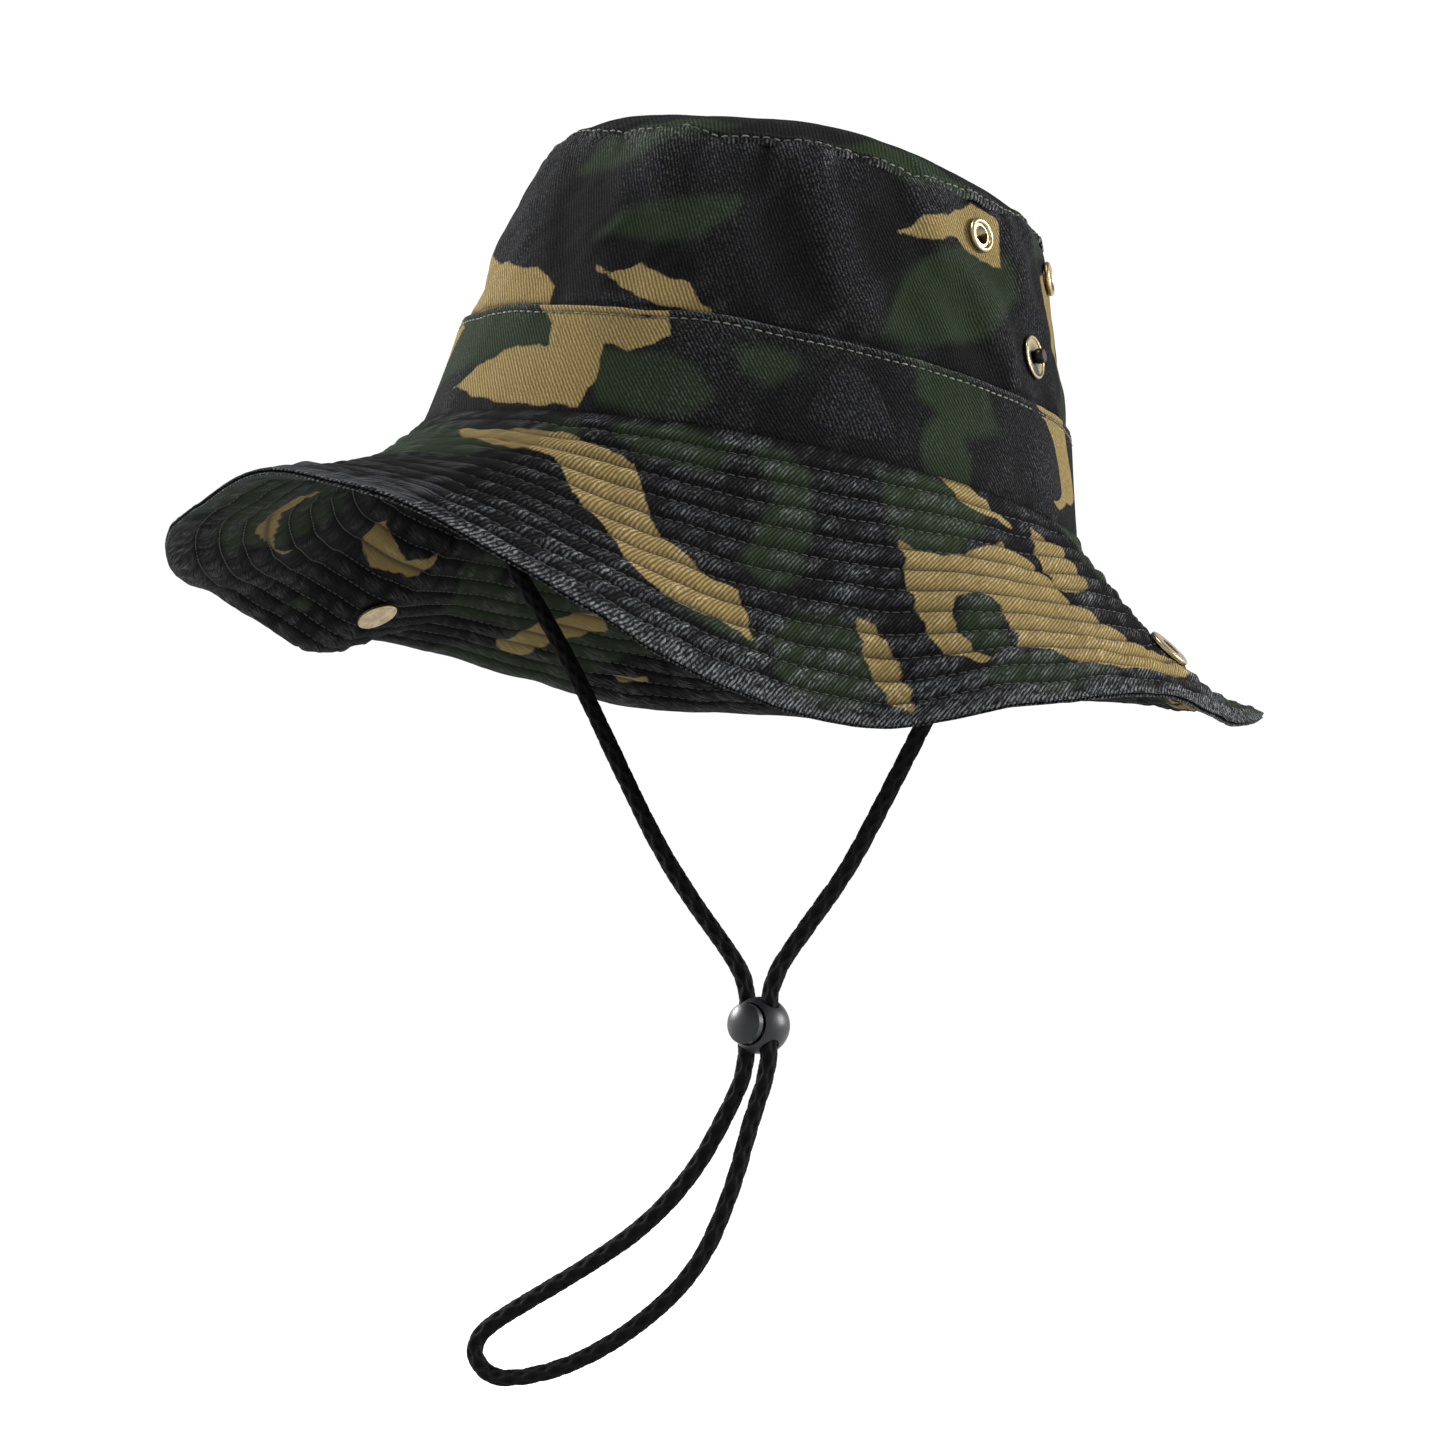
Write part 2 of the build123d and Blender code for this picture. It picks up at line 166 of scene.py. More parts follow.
# ---- surfaces
def side_r(z):
    """Half width of the crown's wall at height z."""
    lower = ROOT_R + (BAND_TOP_R - ROOT_R) * z / BAND_TOP_Z
    upper = BAND_TOP_R + (SHOULDER_R - BAND_TOP_R) * (z - BAND_TOP_Z) / (SHOULDER_Z - BAND_TOP_Z)
    return np.where(z < BAND_TOP_Z, lower, upper)


def oval_point(a, r, z):
    """A point at azimuth a of the oval whose half width is r, turned from -Y towards +X."""
    return np.stack([r * np.sin(a), -r * OVAL * np.cos(a), z + 0 * a], -1)


def oval_out(a, lean=0.0):
    """The outward normal of the oval, leaning up by a slope."""
    n = np.stack([np.sin(a), -np.cos(a) / OVAL, lean + 0 * a], -1)
    return n / np.linalg.norm(n, axis=-1, keepdims=True)


def arc_mm(a):
    """Distance round the head in millimetres, close enough for a weave's scale."""
    return a * ROOT_R * 1.1


def brim_frame(a, t, h):
    """The brim's surface at azimuth a, t down its slope and h above its middle, as in the CAD."""
    place = np.degrees(a) % 360 / DROOP_STEP
    k = np.floor(place).astype(int)
    f = place - k
    ends = []
    for end in (0, 1):
        p, q, r, s = (DROOP[(k + step) % len(DROOP), end] for step in (-1, 0, 1, 2))
        bend = r - p + f * (2 * p - 5 * q + 4 * r - s + f * (3 * (q - r) + s - p))
        ends.append(np.radians(q + 0.5 * f * bend))
    away = (np.degrees(a) % 360 - BRIM_PULL_AT) / BRIM_PULL_SPREAD
    width = BRIM_WIDTH - BRIM_PULL * np.exp(-away * away)
    t = t * width / BRIM_WIDTH
    rate = (ends[1] - ends[0]) / width
    rate = np.where(abs(rate) < 1e-5, 1e-5, rate)
    angle = ends[0] + rate * t
    run = (np.sin(angle) - np.sin(ends[0])) / rate + h * np.sin(angle)
    drop = (np.cos(angle) - np.cos(ends[0])) / rate + h * np.cos(angle)
    out = oval_out(a)
    return oval_point(a, BRIM_ROOT_R, BRIM_ROOT_Z) + out * run[..., None] + drop[..., None] * [0, 0, 1]


# ---- mesh making
def grid_faces(nu, nv, start, closed, flip=False):
    i = np.arange(nu if closed else nu - 1)
    j = np.arange(nv - 1)
    i, j = np.meshgrid(i, j, indexing="ij")
    k = (i + 1) % nu
    quad = np.stack([i * nv + j, k * nv + j, k * nv + j + 1, i * nv + j + 1], -1).reshape(-1, 4)
    return (quad[:, ::-1] if flip else quad) + start


def make_mesh(name, points, faces, uv=None, fields=None):
    """A smooth-shaded object from points in millimetres, with its UV and its named fields."""
    mesh = bpy.data.meshes.new(name)
    mesh.vertices.add(len(points))
    mesh.vertices.foreach_set("co", (np.asarray(points) * MM).astype(np.float32).ravel())
    faces = np.asarray(faces)
    mesh.loops.add(faces.size)
    mesh.loops.foreach_set("vertex_index", faces.ravel().astype(np.int32))
    mesh.polygons.add(len(faces))
    mesh.polygons.foreach_set("loop_start", np.arange(0, faces.size, faces.shape[1], dtype=np.int32))
    mesh.update(calc_edges=True)
    if uv is not None:
        layer = mesh.uv_layers.new(name="cloth")
        layer.data.foreach_set("uv", np.asarray(uv)[faces.ravel()].astype(np.float32).ravel())
    for key, values in (fields or {}).items():
        attribute = mesh.attributes.new(key, "FLOAT", "POINT")
        attribute.data.foreach_set("value", np.asarray(values).astype(np.float32).ravel())
    mesh.validate()
    work = bmesh.new()
    work.from_mesh(mesh)
    bmesh.ops.recalc_face_normals(work, faces=work.faces)
    work.to_mesh(mesh)
    work.free()
    mesh.shade_smooth()
    obj = bpy.data.objects.new(name, mesh)
    bpy.context.collection.objects.link(obj)
    return obj


def shell(name, outer, inner, uv, fields):
    """A thin band round the hat between two (nu, nv, 3) grids, joined along its two edges."""
    nu, nv = outer.shape[:2]
    count = nu * nv
    points = np.concatenate([outer.reshape(-1, 3), inner.reshape(-1, 3)])
    faces = [grid_faces(nu, nv, 0, True), grid_faces(nu, nv, count, True, flip=True)]
    i = np.arange(nu)
    k = (i + 1) % nu
    for j, flip in ((0, True), (nv - 1, False)):
        edge = np.stack([i * nv + j, k * nv + j, count + k * nv + j, count + i * nv + j], -1)
        faces.append(edge if flip else edge[:, ::-1])
    double = {key: np.concatenate([v.ravel(), v.ravel()]) for key, v in fields.items()}
    return make_mesh(name, points, np.concatenate(faces), np.concatenate([uv, uv]), double)


def normals_of(grid, closed):
    """Unit normals of a point grid, by differences."""
    du = np.roll(grid, -1, 0) - np.roll(grid, 1, 0)
    if not closed:
        du[0], du[-1] = grid[1] - grid[0], grid[-1] - grid[-2]
    dv = np.gradient(grid, axis=1)
    n = np.cross(du, dv)
    return n / np.maximum(np.linalg.norm(n, axis=-1, keepdims=True), 1e-9)


# ---- camouflage print
# Tan patches of the print, each an outline of (azimuth in degrees, height or slant in mm).
CROWN_TAN = [
    [(-52, 28), (-66, 36), (-52, 50), (-36, 44), (-26, 41), (-20, 40), (-14, 35), (-14, 30)],
    [(-7, 42), (-1, 40), (4, 43), (10, 39), (15, 38), (20, 30), (16, 30), (9, 31), (4, 34), (-3, 38)],
    [(53, 63), (58, 69), (64, 71), (72, 77), (80, 75), (80, 63), (74, 62), (67, 66), (60, 63)],
    [(100, 66), (106, 68), (114, 62), (112, 48), (104, 52)],
    [(140, 70), (152, 60), (158, 44), (170, 40), (166, 52), (158, 66), (150, 74)],
    [(186, 58), (196, 64), (210, 60), (222, 66), (232, 60), (220, 52), (204, 50), (194, 52)],
    [(246, 40), (254, 54), (262, 60), (270, 52), (262, 44), (256, 34)],
    [(288, 66), (296, 74), (306, 70), (300, 60), (292, 58)],
]
BAND_TAN = [
    [(-16, 31), (12, 31), (14, 23), (7, 18), (2, 20), (2, 10), (1, 1), (-9, 2), (-16, 3), (-33, 8),
     (-27, 13), (-20, 17), (-10, 19), (-10, 25)],
    [(-66, 31), (-50, 31), (-40, 26), (-52, 18), (-62, 20)],
    [(86, 31), (94, 31), (104, 24), (108, 12), (98, 8), (92, 14)],
    [(150, 0), (160, 14), (176, 18), (184, 10), (172, 2)],
    [(214, 31), (228, 24), (240, 14), (232, 6), (222, 16), (210, 24)],
    [(262, 0), (270, 12), (282, 10), (276, 0)],
]
BRIM_TAN = [
    [(-24, 5), (-14, 14), (-6, 10), (2, 9), (10, 14), (14, 17), (17, 28), (20, 37), (25, 44), (30, 46),
     (32, 60), (28, 56), (24, 57), (18, 52), (14, 41), (9, 33), (4, 23), (-3, 22), (-10, 20)],
    [(45, 45), (48, 48), (50, 56), (51, 66), (51, 76), (48, 69), (46, 60)],
    [(52, 22), (58, 26), (64, 20), (70, 16), (75, 22), (76, 36), (82, 52), (90, 60), (78, 66), (71, 66),
     (66, 60), (62, 57), (58, 62), (54, 54), (52, 38)],
    [(62, -2), (68, -2), (75, 10), (70, 9), (65, 6)],
    [(79, 8), (84, 14), (82, 30), (76, 34), (76, 20)],
    [(112, 20), (124, 30), (136, 26), (140, 40), (128, 46), (116, 38)],
    [(156, 50), (170, 58), (182, 54), (186, 64), (168, 70), (154, 62)],
    [(196, 10), (208, 20), (222, 18), (218, 30), (204, 34), (194, 22)],
    [(246, 44), (254, 56), (262, 54), (258, 66), (248, 62)],
    [(290, 12), (300, 22), (306, 36), (298, 40), (288, 28)],
    [(318, 40), (330, 52), (338, 60), (326, 66), (316, 54)],
]
UNDER_TAN = [
    [(268, 18), (276, 26), (288, 18), (290, 30), (280, 38), (270, 34)],
    [(300, 34), (306, 46), (322, 44), (330, 38), (334, 50), (316, 56), (302, 50)],
    [(230, 30), (238, 40), (242, 58), (236, 66), (232, 50), (226, 40)],
    [(218, 56), (226, 60), (222, 66), (216, 64)],
    [(340, 12), (352, 20), (364, 16), (360, 30), (346, 32)],
    [(20, 30), (34, 40), (46, 36), (44, 52), (28, 54)],
    [(70, 20), (84, 30), (92, 24), (88, 44), (74, 42)],
    [(120, 44), (134, 56), (146, 50), (140, 66), (124, 64)],
    [(160, 14), (176, 24), (188, 18), (182, 34), (166, 36)],
    [(202, 38), (210, 50), (206, 60), (198, 52)],
]


# Its green patches at the front, and the green that shows inside a tan patch.
CROWN_GREEN = [
    [(-8, 49), (-4, 56), (4, 60), (14, 62), (21, 62), (20, 56), (15, 50), (6, 48)],
    [(50, 34), (54, 50), (61, 60), (71, 66), (82, 66), (84, 56), (73, 42), (60, 35)],
    [(-20, 68), (-14, 79), (0, 90), (14, 88), (8, 78), (-6, 70)],
    [(40, 84), (50, 94), (66, 92), (72, 80), (56, 78)],
]
BAND_GREEN = [
    [(-70, 31), (-34, 29), (-23, 31), (-12, 27), (-7, 24), (-7, 18), (-14, 18), (-20, 17), (-27, 14),
     (-60, 8)],
    [(0, 18), (4, 19), (9, 18), (14, 18), (20, 15), (23, 9), (20, 3), (12, 2), (4, 4), (1, 10)],
    [(25, 21), (29, 24), (36, 24), (37, 20), (32, 14), (27, 16)],
    [(56, 31), (72, 28), (76, 18), (66, 12), (58, 20)],
]
BRIM_GREEN = [
    [(-44, 2), (-22, 8), (-7, 11), (0, 16), (-3, 24), (-8, 34), (-40, 30)],
    [(30, 2), (36, 2), (40, 8), (40, 22), (38, 38), (34, 43), (30, 36), (33, 22), (34, 14)],
    [(50, 2), (60, 0), (70, 2), (68, 12), (61, 25), (58, 30), (53, 27), (51, 18)],
    [(34, 57), (38, 48), (45, 48), (47, 57), (48, 68), (44, 72), (38, 72), (35, 66)],
    [(56, 63), (64, 58), (71, 58), (72, 68), (64, 73), (58, 70)],
    [(18, 48), (25, 46), (30, 54), (34, 63), (30, 61), (24, 58)],
    [(8, 2), (20, 0), (28, 4), (24, 14), (14, 12)],
]
BRIM_GAPS = [
    [(58, 40), (61, 37), (63, 42), (62, 50), (62, 56), (59, 59), (57, 52), (57, 46)],
]


def signed_distance(u, v, outline):
    """Distance to a closed outline, positive inside it; all in millimetres."""
    far = np.full(u.shape, 1e9)
    inside = np.zeros(u.shape, bool)
    for (x0, y0), (x1, y1) in zip(outline, outline[1:] + outline[:1]):
        dx, dy = x1 - x0, y1 - y0
        t = np.clip(((u - x0) * dx + (v - y0) * dy) / (dx * dx + dy * dy), 0, 1)
        far = np.minimum(far, np.hypot(u - x0 - t * dx, v - y0 - t * dy))
        crosses = ((y0 > v) != (y1 > v)) & (u < dx * (v - y0) / (dy if dy else 1e-9) + x0)
        inside ^= crosses
    return np.where(inside, far, -far)


def patches(u, v, outlines, scale):
    """Distance inside the nearest of several outlines that lie round the head."""
    depth = np.full(u.shape, -30.0)
    for outline in outlines:
        for turn in (-360, 0, 360):
            shape = [((x + turn) * scale, y) for x, y in outline]
            if max(x for x, _ in shape) < -95 * scale or min(x for x, _ in shape) > 275 * scale:
                continue
            depth = np.maximum(depth, signed_distance(u * scale, v, shape))
    return depth


def print_fields(a, v, points, tans, greens, scale, seed, gaps=(), shrink=0.0):
    """How deep each point lies in the print's tan and green, in millimetres."""
    u = (np.degrees(a) + 90) % 360 - 90
    front = smooth(u, -60, -40) * (1 - smooth(u, 82, 100)) if greens else 1.0 + 0 * u
    ragged = 1.4 * layered(points, 6.0, 3, seed) + 1.5 * layered(points, 22.0, 2, seed + 9)
    drift = 12.0 * (1 - front)
    u_at = u + drift * layered(points, 30.0, 3, seed + 5) / scale
    v_at = v + drift * layered(points, 30.0, 3, seed + 6)
    tan = patches(u_at, v_at, tans, scale) - shrink + 3.5 * (1 - front)
    if gaps:
        tan = np.minimum(tan, -patches(u, v, gaps, scale))
    stray = 60 * (layered(points, 42.0, 3, seed + 20) - 0.05)
    green = stray - 22 * front if greens else stray - 6
    green = np.maximum(green, patches(u, v, list(greens) + list(gaps), scale) * 1.2)
    return {"print_tan": tan + ragged, "print_green": green + ragged}


# ---- fittings that the cloth lies flat around
def node_centre(node):
    low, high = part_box(node)
    return (np.array(low) + np.array(high)) / 2 / MM


SIDES = ("left", "right")
FITTINGS = [node_centre(f"eyelet_{s}_{p}") for s in SIDES for p in ("front", "back")]
FITTINGS += [node_centre(f"{s}_stud") for s in SIDES]
SNAPS = [node_centre(f"{s}_snap_cap") for s in SIDES]


def calm(points, centres, near, far):
    """0 beside a fitting, where the cloth is clamped flat, rising to 1 away from it."""
    keep = np.ones(points.shape[:-1])
    for centre in centres:
        keep = np.minimum(keep, smooth(np.linalg.norm(points - centre, axis=-1), near, far))
    return keep


def pierce(obj, centres, radius):
    """Opens the cloth behind each eyelet, out to where the eyelet's flange covers the edge."""
    work = bmesh.new()
    work.from_mesh(obj.data)
    marks = [Vector(c) * MM for c in centres]
    doomed = [f for f in work.faces
              if any((f.calc_center_median() - m).length < radius * MM for m in marks)]
    bmesh.ops.delete(work, geom=doomed, context="FACES")
    work.to_mesh(obj.data)
    work.free()


# ---- crown
CROWN_STEPS = 900         # round the crown
TOP_LEVELS, TOP_STITCHED = 74, 4        # levels of the top panel, and the one that is topstitched
BAND_LEVELS, BAND_STITCHED = 50, 43     # and of the band
EYELET_HOLE_R = 3.3


def ring_azimuths(count):
    """Even steps round the head from its back, where the cloth's ends are joined."""
    return pi + np.linspace(0, 2 * pi, count, endpoint=False)


def seam_wander(a):
    """How far the shoulder seam rides up and down round the crown."""
    return 1.3 * round_noise(a, 17.0, 0.0, 15) + 0.45 * round_noise(a, 7.0, 0.0, 16)


def crown_side():
    """The crown's side wall: soft folds, and puckers where it is gathered into its seams."""
    a, z = np.meshgrid(ring_azimuths(CROWN_STEPS), np.linspace(1.0, 79.2, 110), indexing="ij")
    r = side_r(z) - SIDE_INSET
    flat_r = r - 1.3 * smooth(z, 75, 79.6) ** 2
    out = oval_out(a, 0.24)
    keep = calm(oval_point(a, r, z), FITTINGS, 7.0, 16)
    base = oval_point(a, flat_r + 0.8 * np.sin(pi * np.clip((z - 28) / 50, 0, 1)) * keep - 0.15, z)
    rise = smooth(z, 26, 44)
    folds = 3.2 * layered(base * [1, 1, 0.5], 38.0, 2, 3)
    folds = folds + 1.9 * round_noise(a + z * 0.006, 13.0, z / 34.0, 4) * rise
    folds = folds + 0.45 * round_noise(a - z * 0.010, 7.0, z / 16.0, 7) * rise
    near_seam = np.exp(-(79 - z) / 5.0)
    pucker = near_seam * round_noise(a, 4.6, z / 16.0, 5)
    near_band = np.exp(-np.abs(z - 32) / 4.0)
    pucker = pucker + 0.6 * near_band * round_noise(a, 5.4, z / 10.0, 6)
    height = (folds + 0.85 * pucker) * keep * smooth(z, 0, 10)
    base = base + (seam_wander(a) * smooth(z, 62, 79) * keep)[..., None] * [0, 0, 1]
    outer = base + out * height[..., None]
    inner = outer - out * CLOTH
    fields = print_fields(a, z, base, CROWN_TAN, CROWN_GREEN, 1.66, 40)
    # painted shade: darkens the colour just above the band's top edge and just under the shoulder seam
    fields["crease_and_painted_shade"] = np.exp(-np.abs(z - 30.4) / 0.8) + np.exp(-(79.4 - z) / 0.7)
    fields["worn"] = np.clip(0.02 + 0.08 * folds + 0.4 * pucker + 0.25 * near_seam, 0, 1)
    uv = np.stack([arc_mm(a), z], -1).reshape(-1, 2)
    obj = shell("crown_side_cloth", outer, inner, uv, fields)
    pierce(obj, FITTINGS[:4], EYELET_HOLE_R)
    return obj


def dome(a, s):
    """The smooth top panel and its normals, s from 0 at the shoulder seam to 1 at the middle."""
    r = (SHOULDER_R - 1.5) * (1 - s)
    height = SHOULDER_Z - 0.3 + DOME_RISE * (1 - (1 - s) ** 3.4) - 0.7 * np.exp(-s / 0.012)
    height = height + seam_wander(a) * np.exp(-s / 0.16)
    lean = DOME_RISE * 3.4 / SHOULDER_R * (1 - s) ** 2.4
    n = np.stack([np.sin(a) * lean, -np.cos(a) * lean / OVAL, np.ones_like(a + s)], -1)
    n = n / np.linalg.norm(n, axis=-1, keepdims=True)
    return oval_point(a, r, height), n


def crown_top():
    """The domed top panel, with its turned seam allowance and wavy puckers at the edge."""
    s = np.concatenate([np.linspace(0, 0.16, 26), np.linspace(0.175, 1, 48)[:-1], [0.9995]])
    a, s = np.meshgrid(ring_azimuths(CROWN_STEPS), s, indexing="ij")
    base, n = dome(a, s)
    inward = s * SHOULDER_R
    puckers = 0.95 * np.exp(-inward / 6.5) * round_noise(a, 5.0, inward / 16.0, 11, 80.0)
    puckers = puckers + 0.5 * np.exp(-inward / 12.0) * round_noise(a, 11.0, inward / 20.0, 13, 80.0)
    broad = 2.4 * layered(base, 34.0, 2, 12) * smooth(inward, 0, 16)
    seam = 0.6 * smooth(inward, 0.0, 0.9) * (1 - smooth(inward, 2.4, 5.2))
    groove = -0.4 * np.exp(-((inward - 1.7) / 0.5) ** 2)
    height = puckers + broad * (1 - s) ** 0.3 + seam + groove
    outer = base + n * height[..., None]
    inner = outer - n * CLOTH
    fields = print_fields(a, 79.5 + inward, base, CROWN_TAN, CROWN_GREEN, 1.3, 41)
    # painted shade: darkens the colour in the groove beside the shoulder seam
    fields["crease_and_painted_shade"] = 0.8 * np.exp(-((inward - 1.7) / 0.4) ** 2)
    fields["worn"] = np.clip(0.02 + 0.4 * puckers + 0.08 * broad + 0.6 * np.exp(-inward / 1.0), 0, 1)
    uv = np.stack([base[..., 0], base[..., 1]], -1).reshape(-1, 2)
    return shell("crown_top_cloth", outer, inner, uv, fields)


def band():
    """The folded band round the crown, its upper edge turned under and topstitched."""
    z = np.concatenate([np.linspace(0.3, 27.6, 44), [28.1, 28.6, 29.1, 29.5, 29.8, 30.0]])
    a, z = np.meshgrid(ring_azimuths(CROWN_STEPS), z, indexing="ij")
    wander = 0.6 * round_noise(a, 26.0, 0.0, 21) * smooth(z, 10, 30)
    r = side_r(z)
    base = oval_point(a, r, z + wander)
    out = oval_out(a, 0.2)
    soft = 1.2 * layered(base * [1, 1, 0.5], 30.0, 2, 22)
    puckers = 0.36 * round_noise(a, 4.2, z / 12.0, 23) * np.exp(-(30 - z) / 6.0)
    puckers = puckers + 0.6 * round_noise(a, 5.4, z / 12.0, 24) * np.exp(-z / 6.0)
    groove = -0.32 * np.exp(-((z - 27.9) / 0.5) ** 2)
    edge = -0.8 * smooth(z, 29.3, 30.05) ** 2
    height = (soft + puckers) * smooth(z, 0, 6) * 0.8 + groove + edge - 0.5 * np.exp(-z / 1.0)
    outer = base + out * height[..., None]
    inner = base + out * (np.minimum(height, 0.3) - 0.7)[..., None]
    fields = print_fields(a, z, base, BAND_TAN, BAND_GREEN, 1.66, 42)
    rim = np.exp(-(30 - z) / 0.8)
    # painted shade: darkens the colour in the topstitched groove and at the band's foot over the brim
    fields["crease_and_painted_shade"] = 0.9 * np.exp(-((z - 27.9) / 0.45) ** 2) + np.exp(-z / 1.5)
    fields["worn"] = np.clip(0.05 + 0.16 * soft + 0.45 * puckers + 0.8 * rim, 0, 1)
    uv = np.stack([arc_mm(a) + z * 0.2, z], -1).reshape(-1, 2)
    return shell("crown_band_cloth", outer, inner, uv, fields)


# ---- brim
BRIM_STEPS = 500          # along half of the brim


def rows():
    """Slant distance of every row of stitching down the brim."""
    return FIRST_ROW + ROW_GAP * np.arange(ROWS)


def row_wander(a, t):
    """How far the hand-guided rows stray from true."""
    return 0.7 * round_noise(a, 24.0, t / 22.0, 31) + 0.3 * round_noise(a, 8.0, t / 9.0, 32)


def placed_row(t):
    """Distance from the nearest row of stitching."""
    return (t - FIRST_ROW + ROW_GAP / 2) % ROW_GAP - ROW_GAP / 2


def brim_height(a, t, base, face):
    """Height of the quilted cloth over the brim's smooth face: face is 1 above and -1 below."""
    seed = 50 if face > 0 else 60
    from_row = placed_row(t)
    inside = (t > FIRST_ROW - ROW_GAP / 2) & (t < rows()[-1] + ROW_GAP / 2)
    groove = np.where(inside, np.exp(-(from_row / 0.62) ** 2), 0)
    puff = np.where(inside, np.cos(pi * from_row / ROW_GAP) ** 2, 0.4)
    puff = 1 - puff
    channel = np.floor((t - FIRST_ROW) / ROW_GAP + 1)
    r = BRIM_ROOT_R * 1.1 + channel * ROW_GAP * 0.8
    slant = 0.006 * (t - FIRST_ROW - channel * ROW_GAP)
    fine = round_noise(a + slant, 3.1, channel * 0.61 + t / 40.0, seed, r)
    coarse = round_noise(a, 8.0, t / 18.0, seed + 1, BRIM_ROOT_R * 1.25)
    broad = layered(base, 30.0, 2, 70)
    strength = 0.6 + 0.4 * smooth(t, 20, 70)
    puckers = (0.6 * fine * (0.15 + puff) + 0.6 * coarse) * strength
    seam_line = np.minimum(abs(np.degrees(a) - 90), abs(np.degrees(a) - 270)) * 1.9
    seam = -0.7 * np.exp(-(seam_line / 0.55) ** 2) + 0.28 * np.exp(-((seam_line - 3.2) / 2.2) ** 2)
    quilt = 0.6 * puff - 0.7 * groove
    return quilt + puckers, face * 1.3 * broad, seam, fine * strength, groove


def bend(obj, side, points):
    """Bakes a piece's placement into its mesh."""
    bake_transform(obj)


def half_azimuths(side):
    """Even steps over one half of the brim, with one extra step beyond each end."""
    start = 0 if side == "left" else pi
    step = pi / BRIM_STEPS
    return start + step * np.arange(-1, BRIM_STEPS + 2)


def brim_sheet(side, face):
    """One face of the quilted brim over half of the hat, as a point grid and its fields."""
    t = np.concatenate([[-1.5], 0.1 + 0.8 * np.arange(95)])
    a, t = np.meshgrid(half_azimuths(side), t, indexing="ij")
    whole = a % (2 * pi)
    loose = smooth(t, 0, 6) * (1 - smooth(t, 71, 75))
    placed = t + row_wander(whole, t) * loose
    base = brim_frame(a, placed, 0 * a)
    quilt, broad, seam, fine, groove = brim_height(whole, t, base, face)
    keep = calm(base, SNAPS, 6.0, 11)
    rim = smooth(t, 71, 75.6)
    height = BRIM_HALF + (quilt * smooth(t, 0, 4) * (1 - 0.7 * rim) + seam) * keep - 0.3 * rim
    height = face * height + broad * smooth(t, 4, 30) * keep * face
    flutter = 1.6 * round_noise(whole, 24.0, 0.0, 33) * smooth(t, 30, 76) * keep
    flutter = flutter + 0.5 * round_noise(whole, 9.0, 0.0, 34) * smooth(t, 50, 76) * keep
    points = brim_frame(a, placed, height + flutter)
    if face > 0:
        fields = print_fields(whole, t, base, BRIM_TAN, BRIM_GREEN, 1.95, 43, BRIM_GAPS)
    else:
        fields = print_fields(whole, t, base, UNDER_TAN, (), 1.95, 44, (), 2.6)
    crest = 0.4 * fine + 0.45 * (quilt - 0.25)
    edge = np.exp(-(75.3 - t) / 2.2)
    worn = 0.08 + crest + 0.8 * edge + 0.28 * smooth(t, 45, 76) - 0.35 * groove
    fields["worn"] = np.clip(worn * (1.0 if face > 0 else 0.6), 0, 1)
    # painted shade: darkens the colour along each row of stitching
    fields["crease_and_painted_shade"] = np.exp(-((placed_row(t)) / 0.55) ** 2) * (t < rows()[-1] + 1)
    uv = np.stack([arc_mm(a) * (1.05 + t / 125), t * 0.48], -1)
    return points, uv, fields


def brim_half(side):
    """Half of the brim: both faces, and the turned seam that joins them at the rim."""
    top, uv_top, top_fields = brim_sheet(side, 1)
    low, uv_low, low_fields = brim_sheet(side, -1)
    middle = (top[:, -1] + low[:, -1]) / 2
    outward = top[:, -1] - top[:, -2]
    outward = outward / np.linalg.norm(outward, axis=-1, keepdims=True)
    up = (top[:, -1] - low[:, -1]) / 2
    lips = [middle + outward * step + up * share for step, share in
            ((0.5, 0.9), (0.75, 0.6), (0.35, 0.26), (-1.5, 0.0), (0.35, -0.26), (0.75, -0.6), (0.5, -0.9))]
    grid = np.concatenate([top] + [lip[:, None] for lip in lips] + [low[:, ::-1]], 1)
    extra = np.stack([uv_top[:, -1] + [0, 0.4 * (k + 1)] for k in range(len(lips))], 1)
    uv = np.concatenate([uv_top, extra, uv_low[:, ::-1]], 1).reshape(-1, 2)
    fields = {}
    for key in top_fields:
        lip_value = np.repeat(top_fields[key][:, -1:], len(lips), 1)
        if key == "worn":
            lip_value = lip_value * 0 + [0.9, 1.0, 0.4, 0.0, 0.4, 1.0, 0.9]
        # painted shade is strongest in the groove of the turned seam at the rim
        if key == "crease_and_painted_shade":
            lip_value = lip_value * 0 + [0.0, 0.0, 0.5, 1.0, 0.5, 0.0, 0.0]
        parts = [top_fields[key], lip_value, low_fields[key][:, ::-1]]
        fields[key] = np.concatenate(parts, 1)
    normals = normals_of(grid.transpose(1, 0, 2), True).transpose(1, 0, 2)[1:-1]
    grid, uv = grid[1:-1], uv.reshape(grid.shape[0], -1, 2)[1:-1].reshape(-1, 2)
    fields = {key: value[1:-1] for key, value in fields.items()}
    nu, nv = grid.shape[:2]
    faces = [grid_faces(nu, nv, 0, False, flip=True)]
    i = np.arange(nu - 1)
    faces.append(np.stack([i * nv, (i + 1) * nv, (i + 1) * nv + nv - 1, i * nv + nv - 1], -1))
    points = grid.reshape(-1, 3)
    obj = make_mesh(f"{side}_brim_cloth", points, np.concatenate(faces), uv, fields)
    if normals[nu // 2, 40, 2] < 0:
        normals = -normals
    obj.data.normals_split_custom_set_from_vertices(normals.reshape(-1, 3).tolist())
    bend(obj, side, points)
    names = ["upper", "lower", "stiffener"]
    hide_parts(*[f"{side}_flap_{n}" for n in names])
    return obj


